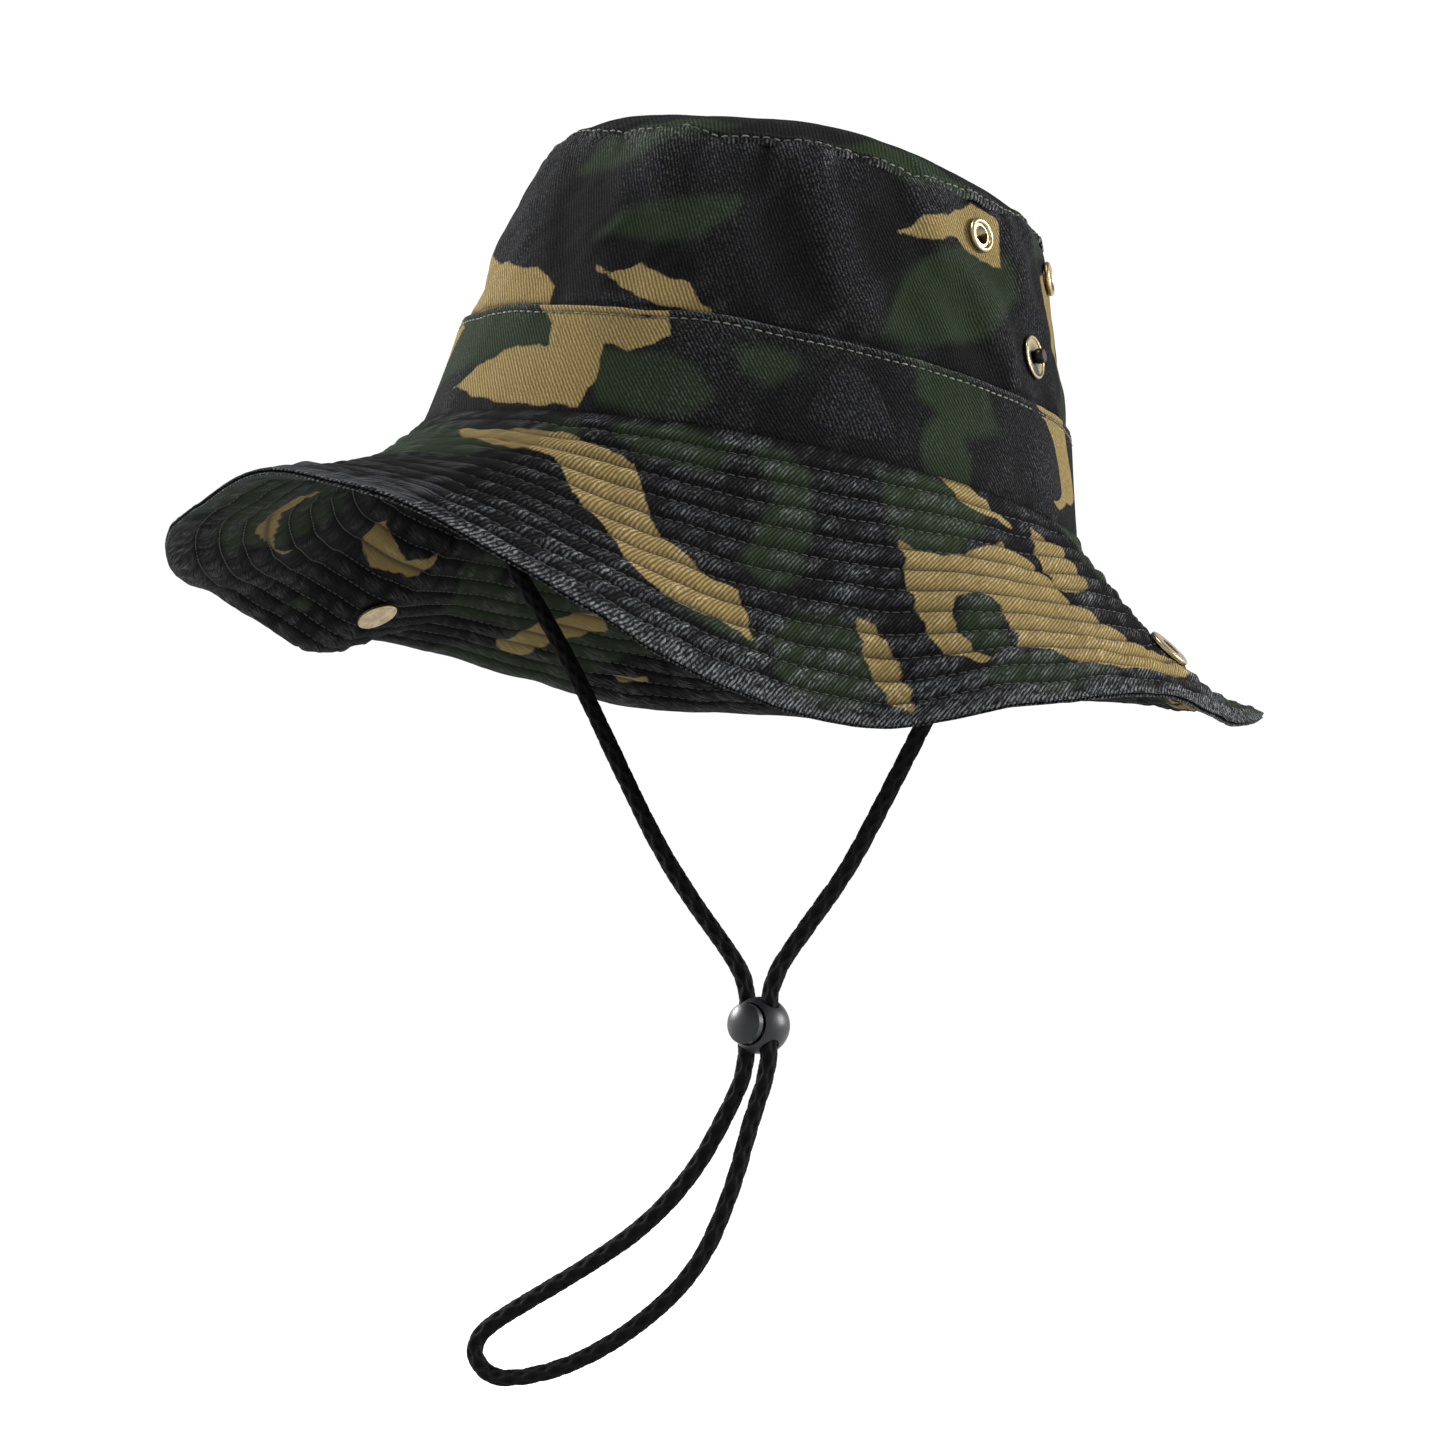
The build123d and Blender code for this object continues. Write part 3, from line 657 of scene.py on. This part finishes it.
# ---- stitching
def resample(line, normals, pitch):
    """Points along a line at an even pitch, with their directions and normals."""
    steps = np.linalg.norm(np.diff(line, axis=0), axis=1)
    run = np.concatenate([[0], np.cumsum(steps)])
    at = np.arange(pitch / 2, run[-1] - pitch / 3, pitch)
    where = np.stack([np.interp(at, run, line[:, k]) for k in range(3)], 1)
    up = np.stack([np.interp(at, run, normals[:, k]) for k in range(3)], 1)
    ahead = np.stack([np.interp(at + 0.4, run, line[:, k]) for k in range(3)], 1)
    along = ahead - where
    along = along / np.maximum(np.linalg.norm(along, axis=1, keepdims=True), 1e-9)
    up = up - along * (up * along).sum(1, keepdims=True)
    up = up / np.maximum(np.linalg.norm(up, axis=1, keepdims=True), 1e-9)
    return where, along, up


STITCH_PITCH = 2.7
# each stitch's stations: place along its length, share of its radius, and rise in radii
STATIONS = [(-0.5, 0.35, -1.3), (-0.36, 0.9, -0.2), (0.0, 1.0, 0.1), (0.36, 0.9, -0.2), (0.5, 0.35, -1.3)]


def thread(lines, length, radius, lift):
    """Stitches along several lines: short rounded bars that dip into the cloth at both ends.
    Returns their points, faces and the middle of the stitch that each point belongs to."""
    around = 6
    per_stitch = len(STATIONS) * around
    angle = np.arange(around) * 2 * pi / around
    points, centres = [], []
    for line, normals in lines:
        where, along, up = resample(line, normals, STITCH_PITCH)
        side = np.cross(along, up)
        rings = []
        for share, thick, rise in STATIONS:
            middle = where + along * share * length + up * (lift + rise * radius)
            spoke = np.cos(angle)[None, :, None] * side[:, None] + np.sin(angle)[None, :, None] * up[:, None]
            rings.append(middle[:, None] + radius * thick * spoke)
        points.append(np.stack(rings, 1).reshape(-1, 3))
        centres.append(np.repeat(where, per_stitch, 0))
    points, centres = np.concatenate(points), np.concatenate(centres)
    count = len(points) // per_stitch
    one = []
    for s in range(len(STATIONS) - 1):
        for k in range(around):
            n = (k + 1) % around
            one.append((s * around + k, s * around + n, (s + 1) * around + n, (s + 1) * around + k))
    last = per_stitch - around
    one += [(0, 3, 2, 1), (0, 5, 4, 3)]
    one += [(last, last + 1, last + 2, last + 3), (last, last + 3, last + 4, last + 5)]
    one = np.array(one)
    faces = (one[None] + (np.arange(count) * per_stitch)[:, None, None]).reshape(-1, 4)
    return points, faces, centres


def brim_stitches(side):
    """The rows of stitching on both faces of half of the brim."""
    lines = []
    for face in (1, -1):
        grid, _, _ = brim_sheet(side, face)
        normal = normals_of(grid, False)
        normal = normal * np.sign(normal[..., 2:]) * face
        for k in range(ROWS):
            j = 1 + round((FIRST_ROW - 0.1) / 0.8) + round(ROW_GAP / 0.8) * k
            lines.append((grid[1:-1, j], normal[1:-1, j]))
    points, faces, centres = thread(lines, length=2.25, radius=0.2, lift=0.12)
    obj = make_mesh(f"{side}_brim_stitching", points, faces)
    bend(obj, side, centres)
    return obj


def surface_line(obj, levels, level):
    """One level of a crown shell's outer face, closed, with the outward normals there."""
    co = np.empty(len(obj.data.vertices) * 3, np.float32)
    obj.data.vertices.foreach_get("co", co)
    outer = co.reshape(-1, 3)[: CROWN_STEPS * levels]
    grid = outer.reshape(CROWN_STEPS, levels, 3).astype(float) / MM
    normal = normals_of(grid, True)
    line, up = grid[:, level], normal[:, level]
    if (up * line * [1, 1, 0]).sum() < 0:
        up = -up
    return np.concatenate([line, line[:1]]), np.concatenate([up, up[:1]])


# ---- inside the crown
def sweatband():
    """The twill band inside the head opening, rolled at its lower edge."""
    z = np.concatenate([[0.9, 1.1, 1.5, 2.2], np.linspace(3.0, 30.5, 40), [31.2, 31.7, 32.0]])
    a, z = np.meshgrid(ring_azimuths(600), z, indexing="ij")
    r = side_r(z) - 2.9 + 0 * a
    base = oval_point(a, r, z)
    out = oval_out(a, 0.2)
    ease = 0.35 * round_noise(a, 11.0, z / 30.0, 80) + 0.2 * round_noise(a, 4.0, z / 9.0, 81)
    groove = 0.3 * np.exp(-((z - 29.2) / 0.5) ** 2) + 0.3 * np.exp(-((z - 3.2) / 0.5) ** 2)
    inner = base - out * (0.9 - groove + ease * smooth(z, 1, 6) * 0.6)[..., None]
    outer = base + 0 * out
    uv = np.stack([arc_mm(a), z], -1).reshape(-1, 2)
    return shell("sweatband_cloth", outer, inner, uv, {"worn": 0.15 + 0.4 * ease})


TAPE_LOW, TAPE_HIGH = 74.4, 77.6


def shoulder_tape():
    """The tape over the seam inside the crown's shoulder."""
    z = np.linspace(TAPE_LOW, TAPE_HIGH, 9)
    a, z = np.meshgrid(ring_azimuths(500), z, indexing="ij")
    base = oval_point(a, side_r(z) - 2.2, z)
    out = oval_out(a, 0.26)
    bulge = 0.25 + 0.35 * np.sin(pi * (z - TAPE_LOW) / (TAPE_HIGH - TAPE_LOW))
    bulge = bulge + 0.12 * round_noise(a, 3.0, z, 83)
    inner = base - out * bulge[..., None]
    uv = np.stack([arc_mm(a), z], -1).reshape(-1, 2)
    return shell("shoulder_tape_cloth", base, inner, uv, {"worn": 0.2 + 0 * a})


def pillow(name, low, high, power=0.35):
    """A soft rounded block between two corners, such as a folded tab of tape."""
    middle, half = (np.array(low) + high) / 2, (np.array(high) - low) / 2
    u, v = np.meshgrid(np.linspace(-pi / 2, pi / 2, 25), ring_azimuths(40), indexing="ij")
    cu, su, cv, sv = (np.sign(x) * np.abs(x) ** power for x in (np.cos(u), np.sin(u), np.cos(v), np.sin(v)))
    shape = np.stack([cu * cv, cu * sv, su], -1)
    crease_and_painted_shade = 1 - 0.12 * np.exp(-(shape[..., 2:] / 0.12) ** 2)
    points = middle + half * shape * crease_and_painted_shade
    rings = points[1:-1].transpose(1, 0, 2)
    nu, nv = rings.shape[:2]
    rings = rings.reshape(-1, 3)
    obj = make_mesh(name, rings, grid_faces(nu, nv, 0, True), rings[:, 1:], {"worn": np.full(nu * nv, 0.25)})
    close_holes(obj)
    return obj


def close_holes(obj):
    """Caps the open ends of a tube."""
    work = bmesh.new()
    work.from_mesh(obj.data)
    bmesh.ops.holes_fill(work, edges=[e for e in work.edges if e.is_boundary], sides=0)
    bmesh.ops.recalc_face_normals(work, faces=work.faces)
    for face in work.faces:
        face.smooth = True
    work.to_mesh(obj.data)
    work.free()


# ---- chin cord
CORD_D = 4.4
LOCK_CENTRE = Vector((27.0, 0.0, -142.0))
LOCK_TURNED = Matrix.Rotation(radians(-8.7), 3, "Y") @ Matrix.Rotation(radians(-12.0), 3, "Z")
STRAND_ASIDE, STRAND_BACK = 3.8, -1.2    # the strands' places in the lock
LEAD = 12.0               # straight run of cord above and below the lock's middle
SEWN_IN = 1.6             # length of cord inside each tab
PLAIT_PITCH, PLAITS = 7.2, 5
LEFT_STRAND = [
    (79.0, -4.4), (74.0, -22.0), (67.5, -40.0), (60.6, -58.0), (53.4, -77.5),
    (45.3, -98.5), (36.5, -113.5),
]
RIGHT_STRAND = [
    (-79.0, -4.4), (-76.5, -17.0), (-68.5, -28.0), (-56.0, -41.0), (-42.5, -57.5),
    (-26.5, -79.0), (-11.5, -98.5), (2.0, -112.5), (12.0, -121.5),
]
LOOP = [
    (21.5, -165.0), (14.5, -182.5), (2.5, -199.0), (-14.0, -213.0), (-31.0, -225.5),
    (-42.5, -234.5), (-44.5, -241.0), (-38.5, -246.5), (-28.5, -245.5), (-12.0, -238.5),
    (5.0, -225.5), (19.5, -208.5), (26.0, -187.0), (28.5, -166.5),
]


def lock_point(end, z):
    """A point on a strand's line through the lock."""
    return tuple(LOCK_CENTRE + LOCK_TURNED @ Vector((STRAND_ASIDE * end, STRAND_BACK, z)))


def flat(points):
    return [(x, 0.0, z) for x, z in points]


def cord_route():
    """The whole cord: down the right strand, through the lock, round the loop and up again."""
    route = flat(RIGHT_STRAND) + [lock_point(-1, LEAD), lock_point(-1, 0), lock_point(-1, -LEAD)]
    route += flat(LOOP) + [lock_point(1, -LEAD), lock_point(1, 0), lock_point(1, LEAD)]
    return route + flat(LEFT_STRAND)[::-1]


def route_line(route):
    """Points read from the smooth curve that the route controls, in millimetres."""
    data = bpy.data.curves.new("cord_route", "CURVE")
    data.dimensions = "3D"
    data.resolution_u = 24
    spline = data.splines.new("NURBS")
    spline.points.add(len(route) - 1)
    for point, place in zip(spline.points, route):
        point.co = (*(Vector(place) * MM), 1.0)
    spline.order_u = 3
    spline.use_endpoint_u = True
    obj = bpy.data.objects.new("cord_route", data)
    mesh = bpy.data.meshes.new_from_object(obj)
    line = np.array([v.co for v in mesh.vertices], float) / MM
    bpy.data.objects.remove(obj)
    bpy.data.curves.remove(data)
    bpy.data.meshes.remove(mesh)
    return line


def braided_tube(name, line, radius):
    """A braided cord along a line: strands cross over and under in two directions."""
    run = np.concatenate([[0], np.cumsum(np.linalg.norm(np.diff(line, axis=0), axis=1))])
    at = np.arange(0, run[-1], 0.3)
    line = np.stack([np.interp(at, run, line[:, k]) for k in range(3)], 1)
    for _ in range(6):
        line[1:-1] = (line[:-2] + 2 * line[1:-1] + line[2:]) / 4
    ahead = np.gradient(line, axis=0)
    ahead /= np.linalg.norm(ahead, axis=1, keepdims=True)
    side = np.cross(ahead, [0.0, 1.0, 0.0])
    side /= np.linalg.norm(side, axis=1, keepdims=True)
    over = np.cross(ahead, side)
    around = 32
    v, s = np.meshgrid(np.arange(around) * 2 * pi / around, at)
    turns = s / PLAIT_PITCH * 2 * pi
    weave = np.maximum(np.cos(PLAITS * v - turns), np.cos(PLAITS * v + turns))
    lump = 0.5 * noise(s / 6.0, v * 0, 0, 90) + 0.3 * noise(s / 1.9, np.cos(v) * 2, np.sin(v) * 2, 91)
    depth = radius * (0.9 + 0.17 * weave + 0.06 * lump)
    ring = line[:, None] + depth[..., None] * (
        np.cos(v)[..., None] * side[:, None] + np.sin(v)[..., None] * over[:, None])
    nu, nv = ring.shape[:2]
    grid = ring.transpose(1, 0, 2).reshape(-1, 3)
    faces = grid_faces(nv, nu, 0, True)
    fields = {"worn": (0.2 + 0.5 * np.clip(weave, 0, 1)).T.ravel()}
    obj = make_mesh(name, grid, faces, None, fields)
    close_holes(obj)
    return obj, line


def unit(v):
    return v / np.linalg.norm(v)


def chin_cord():
    line = route_line(cord_route())
    first = line[0] - SEWN_IN * unit(line[1] - line[0])
    last = line[-1] + SEWN_IN * unit(line[-1] - line[-2])
    obj, line = braided_tube("chin_cord_braid", np.concatenate([[first], line, [last]]), CORD_D / 2)
    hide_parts("cord_strand_left", "cord_strand_right", "cord_loop")
    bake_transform(obj)
    return obj


# ---- materials
class Nodes:
    """A short way to write a shader tree."""

    def __init__(self, name):
        self.material = bpy.data.materials.new(name)
        self.material.use_nodes = True
        self.tree = self.material.node_tree
        self.shader = self.tree.nodes["Principled BSDF"]

    def add(self, kind, values=None, **settings):
        node = self.tree.nodes.new(kind)
        for key, value in settings.items():
            setattr(node, key, value)
        for key, value in (values or {}).items():
            if isinstance(value, bpy.types.NodeSocket):
                self.tree.links.new(value, node.inputs[key])
            else:
                node.inputs[key].default_value = value
        return node.outputs[0]

    def math(self, operation, a, b=0.0, clamp=False):
        return self.add("ShaderNodeMath", {0: a, 1: b}, operation=operation, use_clamp=clamp)

    def field(self, name):
        node = self.tree.nodes.new("ShaderNodeAttribute")
        node.attribute_name = name
        return node.outputs["Fac"]

    def place(self):
        """The point's own coordinates on its piece."""
        return self.tree.nodes.new("ShaderNodeTexCoord").outputs["Object"]

    def times(self, value, share):
        """A colour multiplied by another."""
        return self.mix(1.0, value, colour(*share), "MULTIPLY")

    def noise(self, vector, scale, detail=3.0, roughness=0.55):
        return self.add("ShaderNodeTexNoise", {"Vector": vector, "Scale": scale, "Detail": detail,
                                               "Roughness": roughness})

    def step(self, value, low, high, to_low=0.0, to_high=1.0):
        return self.add("ShaderNodeMapRange", {0: value, 1: low, 2: high, 3: to_low, 4: to_high},
                        interpolation_type="SMOOTHSTEP")

    def mix(self, share, a, b, blend="MIX"):
        node = self.tree.nodes.new("ShaderNodeMix")
        node.data_type, node.blend_type = "RGBA", blend
        for socket, value in zip((node.inputs[0], node.inputs[6], node.inputs[7]), (share, a, b)):
            if isinstance(value, bpy.types.NodeSocket):
                self.tree.links.new(value, socket)
            else:
                socket.default_value = value
        return node.outputs[2]

    def out(self, key, value):
        if isinstance(value, bpy.types.NodeSocket):
            self.tree.links.new(value, self.shader.inputs[key])
        else:
            self.shader.inputs[key].default_value = value

    def bump(self, height, distance, strength=1.0):
        return self.add("ShaderNodeBump", {"Strength": strength, "Distance": distance, "Height": height})


def colour(r, g, b):
    return (r, g, b, 1.0)


TAN, FADED_TAN = colour(0.150, 0.108, 0.041), colour(0.32, 0.255, 0.135)
GREEN, DARK = colour(0.0120, 0.0195, 0.0092), colour(0.0034, 0.0034, 0.0039)
FADED = colour(0.125, 0.129, 0.134)
RIB_GAP = 1.9             # between the twill's ribs, down the cloth


def twill(n):
    """The weave's fine diagonal ribs and the pale flecks between them, from the cloth's own UV."""
    uv = n.add("ShaderNodeUVMap", uv_map="cloth")
    split = n.tree.nodes.new("ShaderNodeSeparateXYZ")
    n.tree.links.new(uv, split.inputs[0])
    u, v = split.outputs[0], split.outputs[1]
    wobble = n.noise(uv, 0.35, 2.0)
    diagonal = n.math("ADD", n.math("MULTIPLY", u, 1.5), v)
    phase = n.math("ADD", n.math("MULTIPLY", diagonal, 2 * pi / RIB_GAP), n.math("MULTIPLY", wobble, 5.0))
    rib = n.math("ADD", n.math("MULTIPLY", n.math("SINE", phase), 0.5), 0.5)
    fleck = n.step(n.noise(uv, 1.3, 4.0, 0.7), 0.40, 0.64)
    return uv, rib, fleck


def print_material():
    """Stonewashed camouflage twill: tan, green and charcoal print, faded on every raised edge."""
    n = Nodes("camo_twill_print")
    uv, rib, fleck = twill(n)
    rough_edge = n.math("MULTIPLY", n.math("SUBTRACT", n.noise(uv, 1.1, 4.0, 0.7), 0.5), 1.5)
    tan = n.step(n.math("ADD", n.field("print_tan"), rough_edge), -0.35, 0.35)
    green = n.step(n.math("ADD", n.field("print_green"), rough_edge), -2.5, 2.5)
    patchy = n.noise(uv, 0.045, 4.0, 0.6)
    ground = n.mix(green, DARK, GREEN)
    base = n.mix(tan, ground, TAN)
    base = n.mix(n.step(patchy, 0.3, 0.7, 0.0, 0.3), base, n.times(base, (1.7, 1.7, 1.6)))
    faded = n.mix(tan, FADED, FADED_TAN)
    worn = n.math("MULTIPLY", n.field("worn"), n.step(n.noise(uv, 0.5, 4.0, 0.65), 0.3, 0.72, 0.25, 1.0))
    threads = n.math("MULTIPLY", n.math("MULTIPLY", rib, fleck), 2.2)
    least = n.math("ADD", n.math("MULTIPLY", tan, 0.16), 0.03)
    fade = n.math("MULTIPLY", n.math("ADD", worn, least), n.math("ADD", threads, 0.05), clamp=True)
    trough = n.math("SUBTRACT", 1.0, rib)
    shade = n.mix(n.math("MULTIPLY", trough, 0.85), base, n.times(base, (0.3, 0.29, 0.27)))
    cloth = n.mix(fade, shade, faded)
    # painted shade: the colour is darkened along creases, seam grooves, rows of stitching and the band's
    # foot
    painted_crease_shade = n.math("MULTIPLY", n.field("crease_and_painted_shade"), 0.72)
    n.out("Base Color", n.mix(painted_crease_shade, cloth, n.times(cloth, (0.1, 0.1, 0.1))))
    n.out("Roughness", n.step(worn, 0.0, 1.0, 0.86, 0.96))
    height = n.math("ADD", n.math("MULTIPLY", rib, 0.7), n.math("MULTIPLY", fleck, 0.6))
    n.out("Normal", n.bump(height, 0.00022, 0.8))
    n.out("Specular IOR Level", 0.03)
    return n.material


def dark_twill(name, base, faded):
    """Plain dark twill for the tapes and the sweatband."""
    n = Nodes(name)
    uv, rib, fleck = twill(n)
    threads = n.math("ADD", n.math("MULTIPLY", rib, 0.4), 0.2)
    fade = n.math("MULTIPLY", n.math("ADD", n.field("worn"), 0.1), threads)
    mottled = n.mix(n.step(n.noise(uv, 0.2, 4.0), 0.3, 0.7), base, n.times(base, (1.8, 1.8, 1.8)))
    n.out("Base Color", n.mix(fade, mottled, faded))
    n.out("Roughness", n.step(fleck, 0, 1, 0.85, 0.95))
    n.out("Normal", n.bump(n.math("ADD", rib, fleck), 0.0002, 0.7))
    n.out("Specular IOR Level", 0.03)
    return n.material


def thread_material(name, tone, shadow):
    n = Nodes(name)
    place = n.place()
    ply = n.add("ShaderNodeTexWave", {"Vector": place, "Scale": 900.0, "Distortion": 3.0, "Detail": 2.0},
                bands_direction="DIAGONAL")
    n.out("Base Color", n.mix(n.step(n.noise(place, 160.0, 3.0), 0.35, 0.65), shadow, tone))
    n.out("Roughness", n.step(ply, 0, 1, 0.6, 0.8))
    n.out("Normal", n.bump(ply, 0.00008, 0.6))
    return n.material


def brass_material(name, darkened):
    """Brass that has dulled unevenly, darkest where hands don't rub it."""
    n = Nodes(name)
    place = n.place()
    tarnish = n.noise(place, 420.0, 5.0, 0.65)
    scratch = n.noise(place, 2600.0, 3.0, 0.7)
    tone = n.mix(n.step(tarnish, 0.38, 0.62), colour(0.27, 0.205, 0.115), colour(0.38, 0.30, 0.175))
    if darkened:
        tone = n.mix(n.field("rim"), colour(0.022, 0.020, 0.018), tone)
    n.out("Base Color", tone)
    n.out("Metallic", 1.0)
    n.out("Roughness", n.step(tarnish, 0.3, 0.7, 0.42, 0.26))
    n.out("Normal", n.bump(scratch, 0.00003, 0.5))
    return n.material


def plastic_material():
    n = Nodes("lock_plastic")
    place = n.place()
    grain = n.noise(place, 3000.0, 3.0, 0.6)
    handled = n.noise(place, 180.0, 4.0, 0.6)
    tone = n.mix(n.step(handled, 0.3, 0.7), colour(0.010, 0.0105, 0.012), colour(0.016, 0.0165, 0.019))
    n.out("Base Color", tone)
    n.out("Roughness", n.step(handled, 0.3, 0.7, 0.34, 0.46))
    n.out("Specular IOR Level", 0.25)
    n.out("Normal", n.bump(grain, 0.00003, 0.35))
    return n.material


def cord_material():
    n = Nodes("cord_fibre")
    place = n.place()
    fibre = n.noise(place, 1400.0, 4.0, 0.7)
    crest = n.math("MULTIPLY", n.field("worn"), fibre)
    n.out("Base Color", n.mix(crest, colour(0.0018, 0.0018, 0.002), colour(0.008, 0.008, 0.009)))
    n.out("Roughness", n.step(fibre, 0.3, 0.7, 0.72, 0.9))
    n.out("Normal", n.bump(fibre, 0.00015, 0.7))
    n.out("Specular IOR Level", 0.08)
    return n.material


def steel_material():
    n = Nodes("spring_wire")
    place = n.place()
    draw = n.noise(place, 2200.0, 2.0, 0.5)
    n.out("Base Color", n.mix(draw, colour(0.45, 0.45, 0.46), colour(0.6, 0.6, 0.61)))
    n.out("Metallic", 1.0)
    n.out("Roughness", n.step(draw, 0, 1, 0.25, 0.4))
    return n.material


def finish(obj, material):
    obj.data.materials.clear()
    obj.data.materials.append(material)
    return obj


# ---- the hat
def dress(obj, node, material):
    """A cloth piece that stands for one CAD node of the hat's body."""
    finish(obj, material)
    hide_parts(node)
    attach(obj, "hat")


def build_hat():
    """Every cloth piece of the hat, and its stitching."""
    cloth = print_material()
    lining = dark_twill("sweatband_twill", colour(0.008, 0.0085, 0.009), colour(0.05, 0.05, 0.052))
    pale = thread_material("pale_thread", colour(0.10, 0.108, 0.075), colour(0.025, 0.028, 0.02))
    dusk = thread_material("dark_thread", colour(0.007, 0.0075, 0.007), colour(0.002, 0.0022, 0.002))

    side, top, strip = crown_side(), crown_top(), band()
    for obj, node in ((side, "crown_side"), (top, "crown_top"), (strip, "crown_band")):
        dress(obj, node, cloth)
    dress(sweatband(), "sweatband", lining)
    dress(shoulder_tape(), "shoulder_tape", lining)
    for name in SIDES:
        low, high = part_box(f"cord_tab_{name}")
        tab = pillow(f"cord_tab_{name}_cloth", np.array(low) / MM, np.array(high) / MM)
        dress(tab, f"cord_tab_{name}", lining)

    for name in SIDES:
        obj = finish(brim_half(name), cloth)
        stitches = finish(brim_stitches(name), dusk)
    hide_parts("brim_front_upper", "brim_front_lower")
    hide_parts("brim_back_upper", "brim_back_lower", "brim_stiffener")

    band_line = surface_line(strip, BAND_LEVELS, BAND_STITCHED)
    top_line = surface_line(top, TOP_LEVELS, TOP_STITCHED)
    for name, line in (("band_stitching", band_line), ("shoulder_stitching", top_line)):
        points, faces, _ = thread([line], length=2.0, radius=0.24, lift=0.16)
        obj = finish(make_mesh(name, points, faces), pale)
        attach(obj, "hat")


STUD_RIM_R = 4.9          # inner radius of a stud's rolled rim


def mark_rim(node, axis):
    """A field on a stud: 1 on its rolled rim and 0 on the darkened plate and ball."""
    obj = frame["nodes"][node]
    centre = Vector(node_centre(node)) * MM
    place = obj.matrix_world
    away = [(place @ v.co - centre) for v in obj.data.vertices]
    reach = [(w - axis * w.dot(axis)).length / MM for w in away]
    field = obj.data.attributes.new("rim", "FLOAT", "POINT")
    field.data.foreach_set("value", [1.0 if r > STUD_RIM_R else 0.0 for r in reach])


def build_fittings():
    """Finishes for the metal and plastic parts, which are shown as the CAD made them."""
    brass, plastic, steel = brass_material("aged_brass", False), plastic_material(), steel_material()
    finishes = {"antique_brass": brass, "black_plastic": plastic, "spring_steel": steel}
    for part in frame["record"]["subparts"]:
        material = finishes.get(part["material_slot"])
        if material:
            finish(frame["nodes"][part["node"]], material)
    darkened = brass_material("darkened_brass", True)
    for name, x in (("left", 1.0), ("right", -1.0)):
        mark_rim(f"{name}_stud", Vector((x, 0, 0.26)).normalized())
        finish(frame["nodes"][f"{name}_stud"], darkened)


def squeeze_spring():
    """Gives the return spring a mesh of its own."""
    spring = frame["nodes"]["lock_spring"]
    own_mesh(spring)


finish(chin_cord(), cord_material())
build_hat()
build_fittings()
squeeze_spring()


# ---- studio
FLOOR_DROP = 0.14         # the floor's distance below the cord's loop, in metres
FLOOR_HALF = 60.0         # half the floor's side, in metres


def add_floor():
    """A wide floor under the hat: grey near the hat as painted shade under it, and pale and glowing further
    out, as bright as the backdrop around it.
    """
    low, _ = CAD_BOX
    z = (low[2] - FLOOR_DROP) / MM
    half = FLOOR_HALF / MM
    corners = [(x * half, y * half, z) for x, y in ((-1, -1), (1, -1), (1, 1), (-1, 1))]
    floor = make_mesh("floor", corners, [(0, 1, 2, 3)])
    n = Nodes("floor_with_painted_shade")
    place = n.place()
    away = n.tree.nodes.new("ShaderNodeVectorMath")
    away.operation = "LENGTH"
    n.tree.links.new(place, away.inputs[0])
    distance = away.outputs["Value"]
    # painted shade: the floor is grey near the hat and pale further out
    tone = n.mix(n.step(distance, 0.6, 2.2), colour(0.42, 0.42, 0.42), colour(0.8, 0.8, 0.8))
    n.out("Base Color", tone)
    n.out("Roughness", 0.95)
    # the floor glows further out, so that it matches the backdrop
    n.out("Emission Color", colour(1, 1, 1))
    n.out("Emission Strength", n.step(distance, 0.8, 2.2, 0.0, 0.75))
    finish(floor, n.material)


def add_light(name, place, target, size, power):
    data = bpy.data.lights.new(name, "AREA")
    data.shape, data.size, data.energy = "SQUARE", size, power
    light = bpy.data.objects.new(name, data)
    bpy.context.collection.objects.link(light)
    place, target = Vector(place), Vector(target)
    light.location = place
    light.rotation_euler = (target - place).to_track_quat("-Z", "Y").to_euler()


def add_studio():
    """The floor, a sky that is brightest near the horizon, and three lamps."""
    add_floor()
    world = bpy.data.worlds.new("studio")
    world.use_nodes = True
    tree = world.node_tree
    coordinates = tree.nodes.new("ShaderNodeTexCoord")
    split = tree.nodes.new("ShaderNodeSeparateXYZ")
    fall = tree.nodes.new("ShaderNodeMapRange")
    fall.interpolation_type = "SMOOTHSTEP"
    for socket, value in ((1, 0.34), (2, 0.75), (3, 1.04), (4, 0.28)):
        fall.inputs[socket].default_value = value
    background = tree.nodes["Background"]
    background.inputs["Color"].default_value = (1, 1, 1, 1)
    tree.links.new(coordinates.outputs["Generated"], split.inputs[0])
    tree.links.new(split.outputs[2], fall.inputs[0])
    tree.links.new(fall.outputs[0], background.inputs["Strength"])
    bpy.context.scene.world = world
    add_light("key", (-0.5, -1.0, 1.8), (0, 0, 0), 0.8, 50.0)
    add_light("left_rim", (-1.7, -0.1, 0.5), (0, 0, 0), 0.6, 60.0)
    add_light("right_rim", (1.6, 0.8, 0.7), (0, 0, 0), 0.6, 75.0)
    bpy.context.scene.view_settings.view_transform = "Standard"


add_studio()
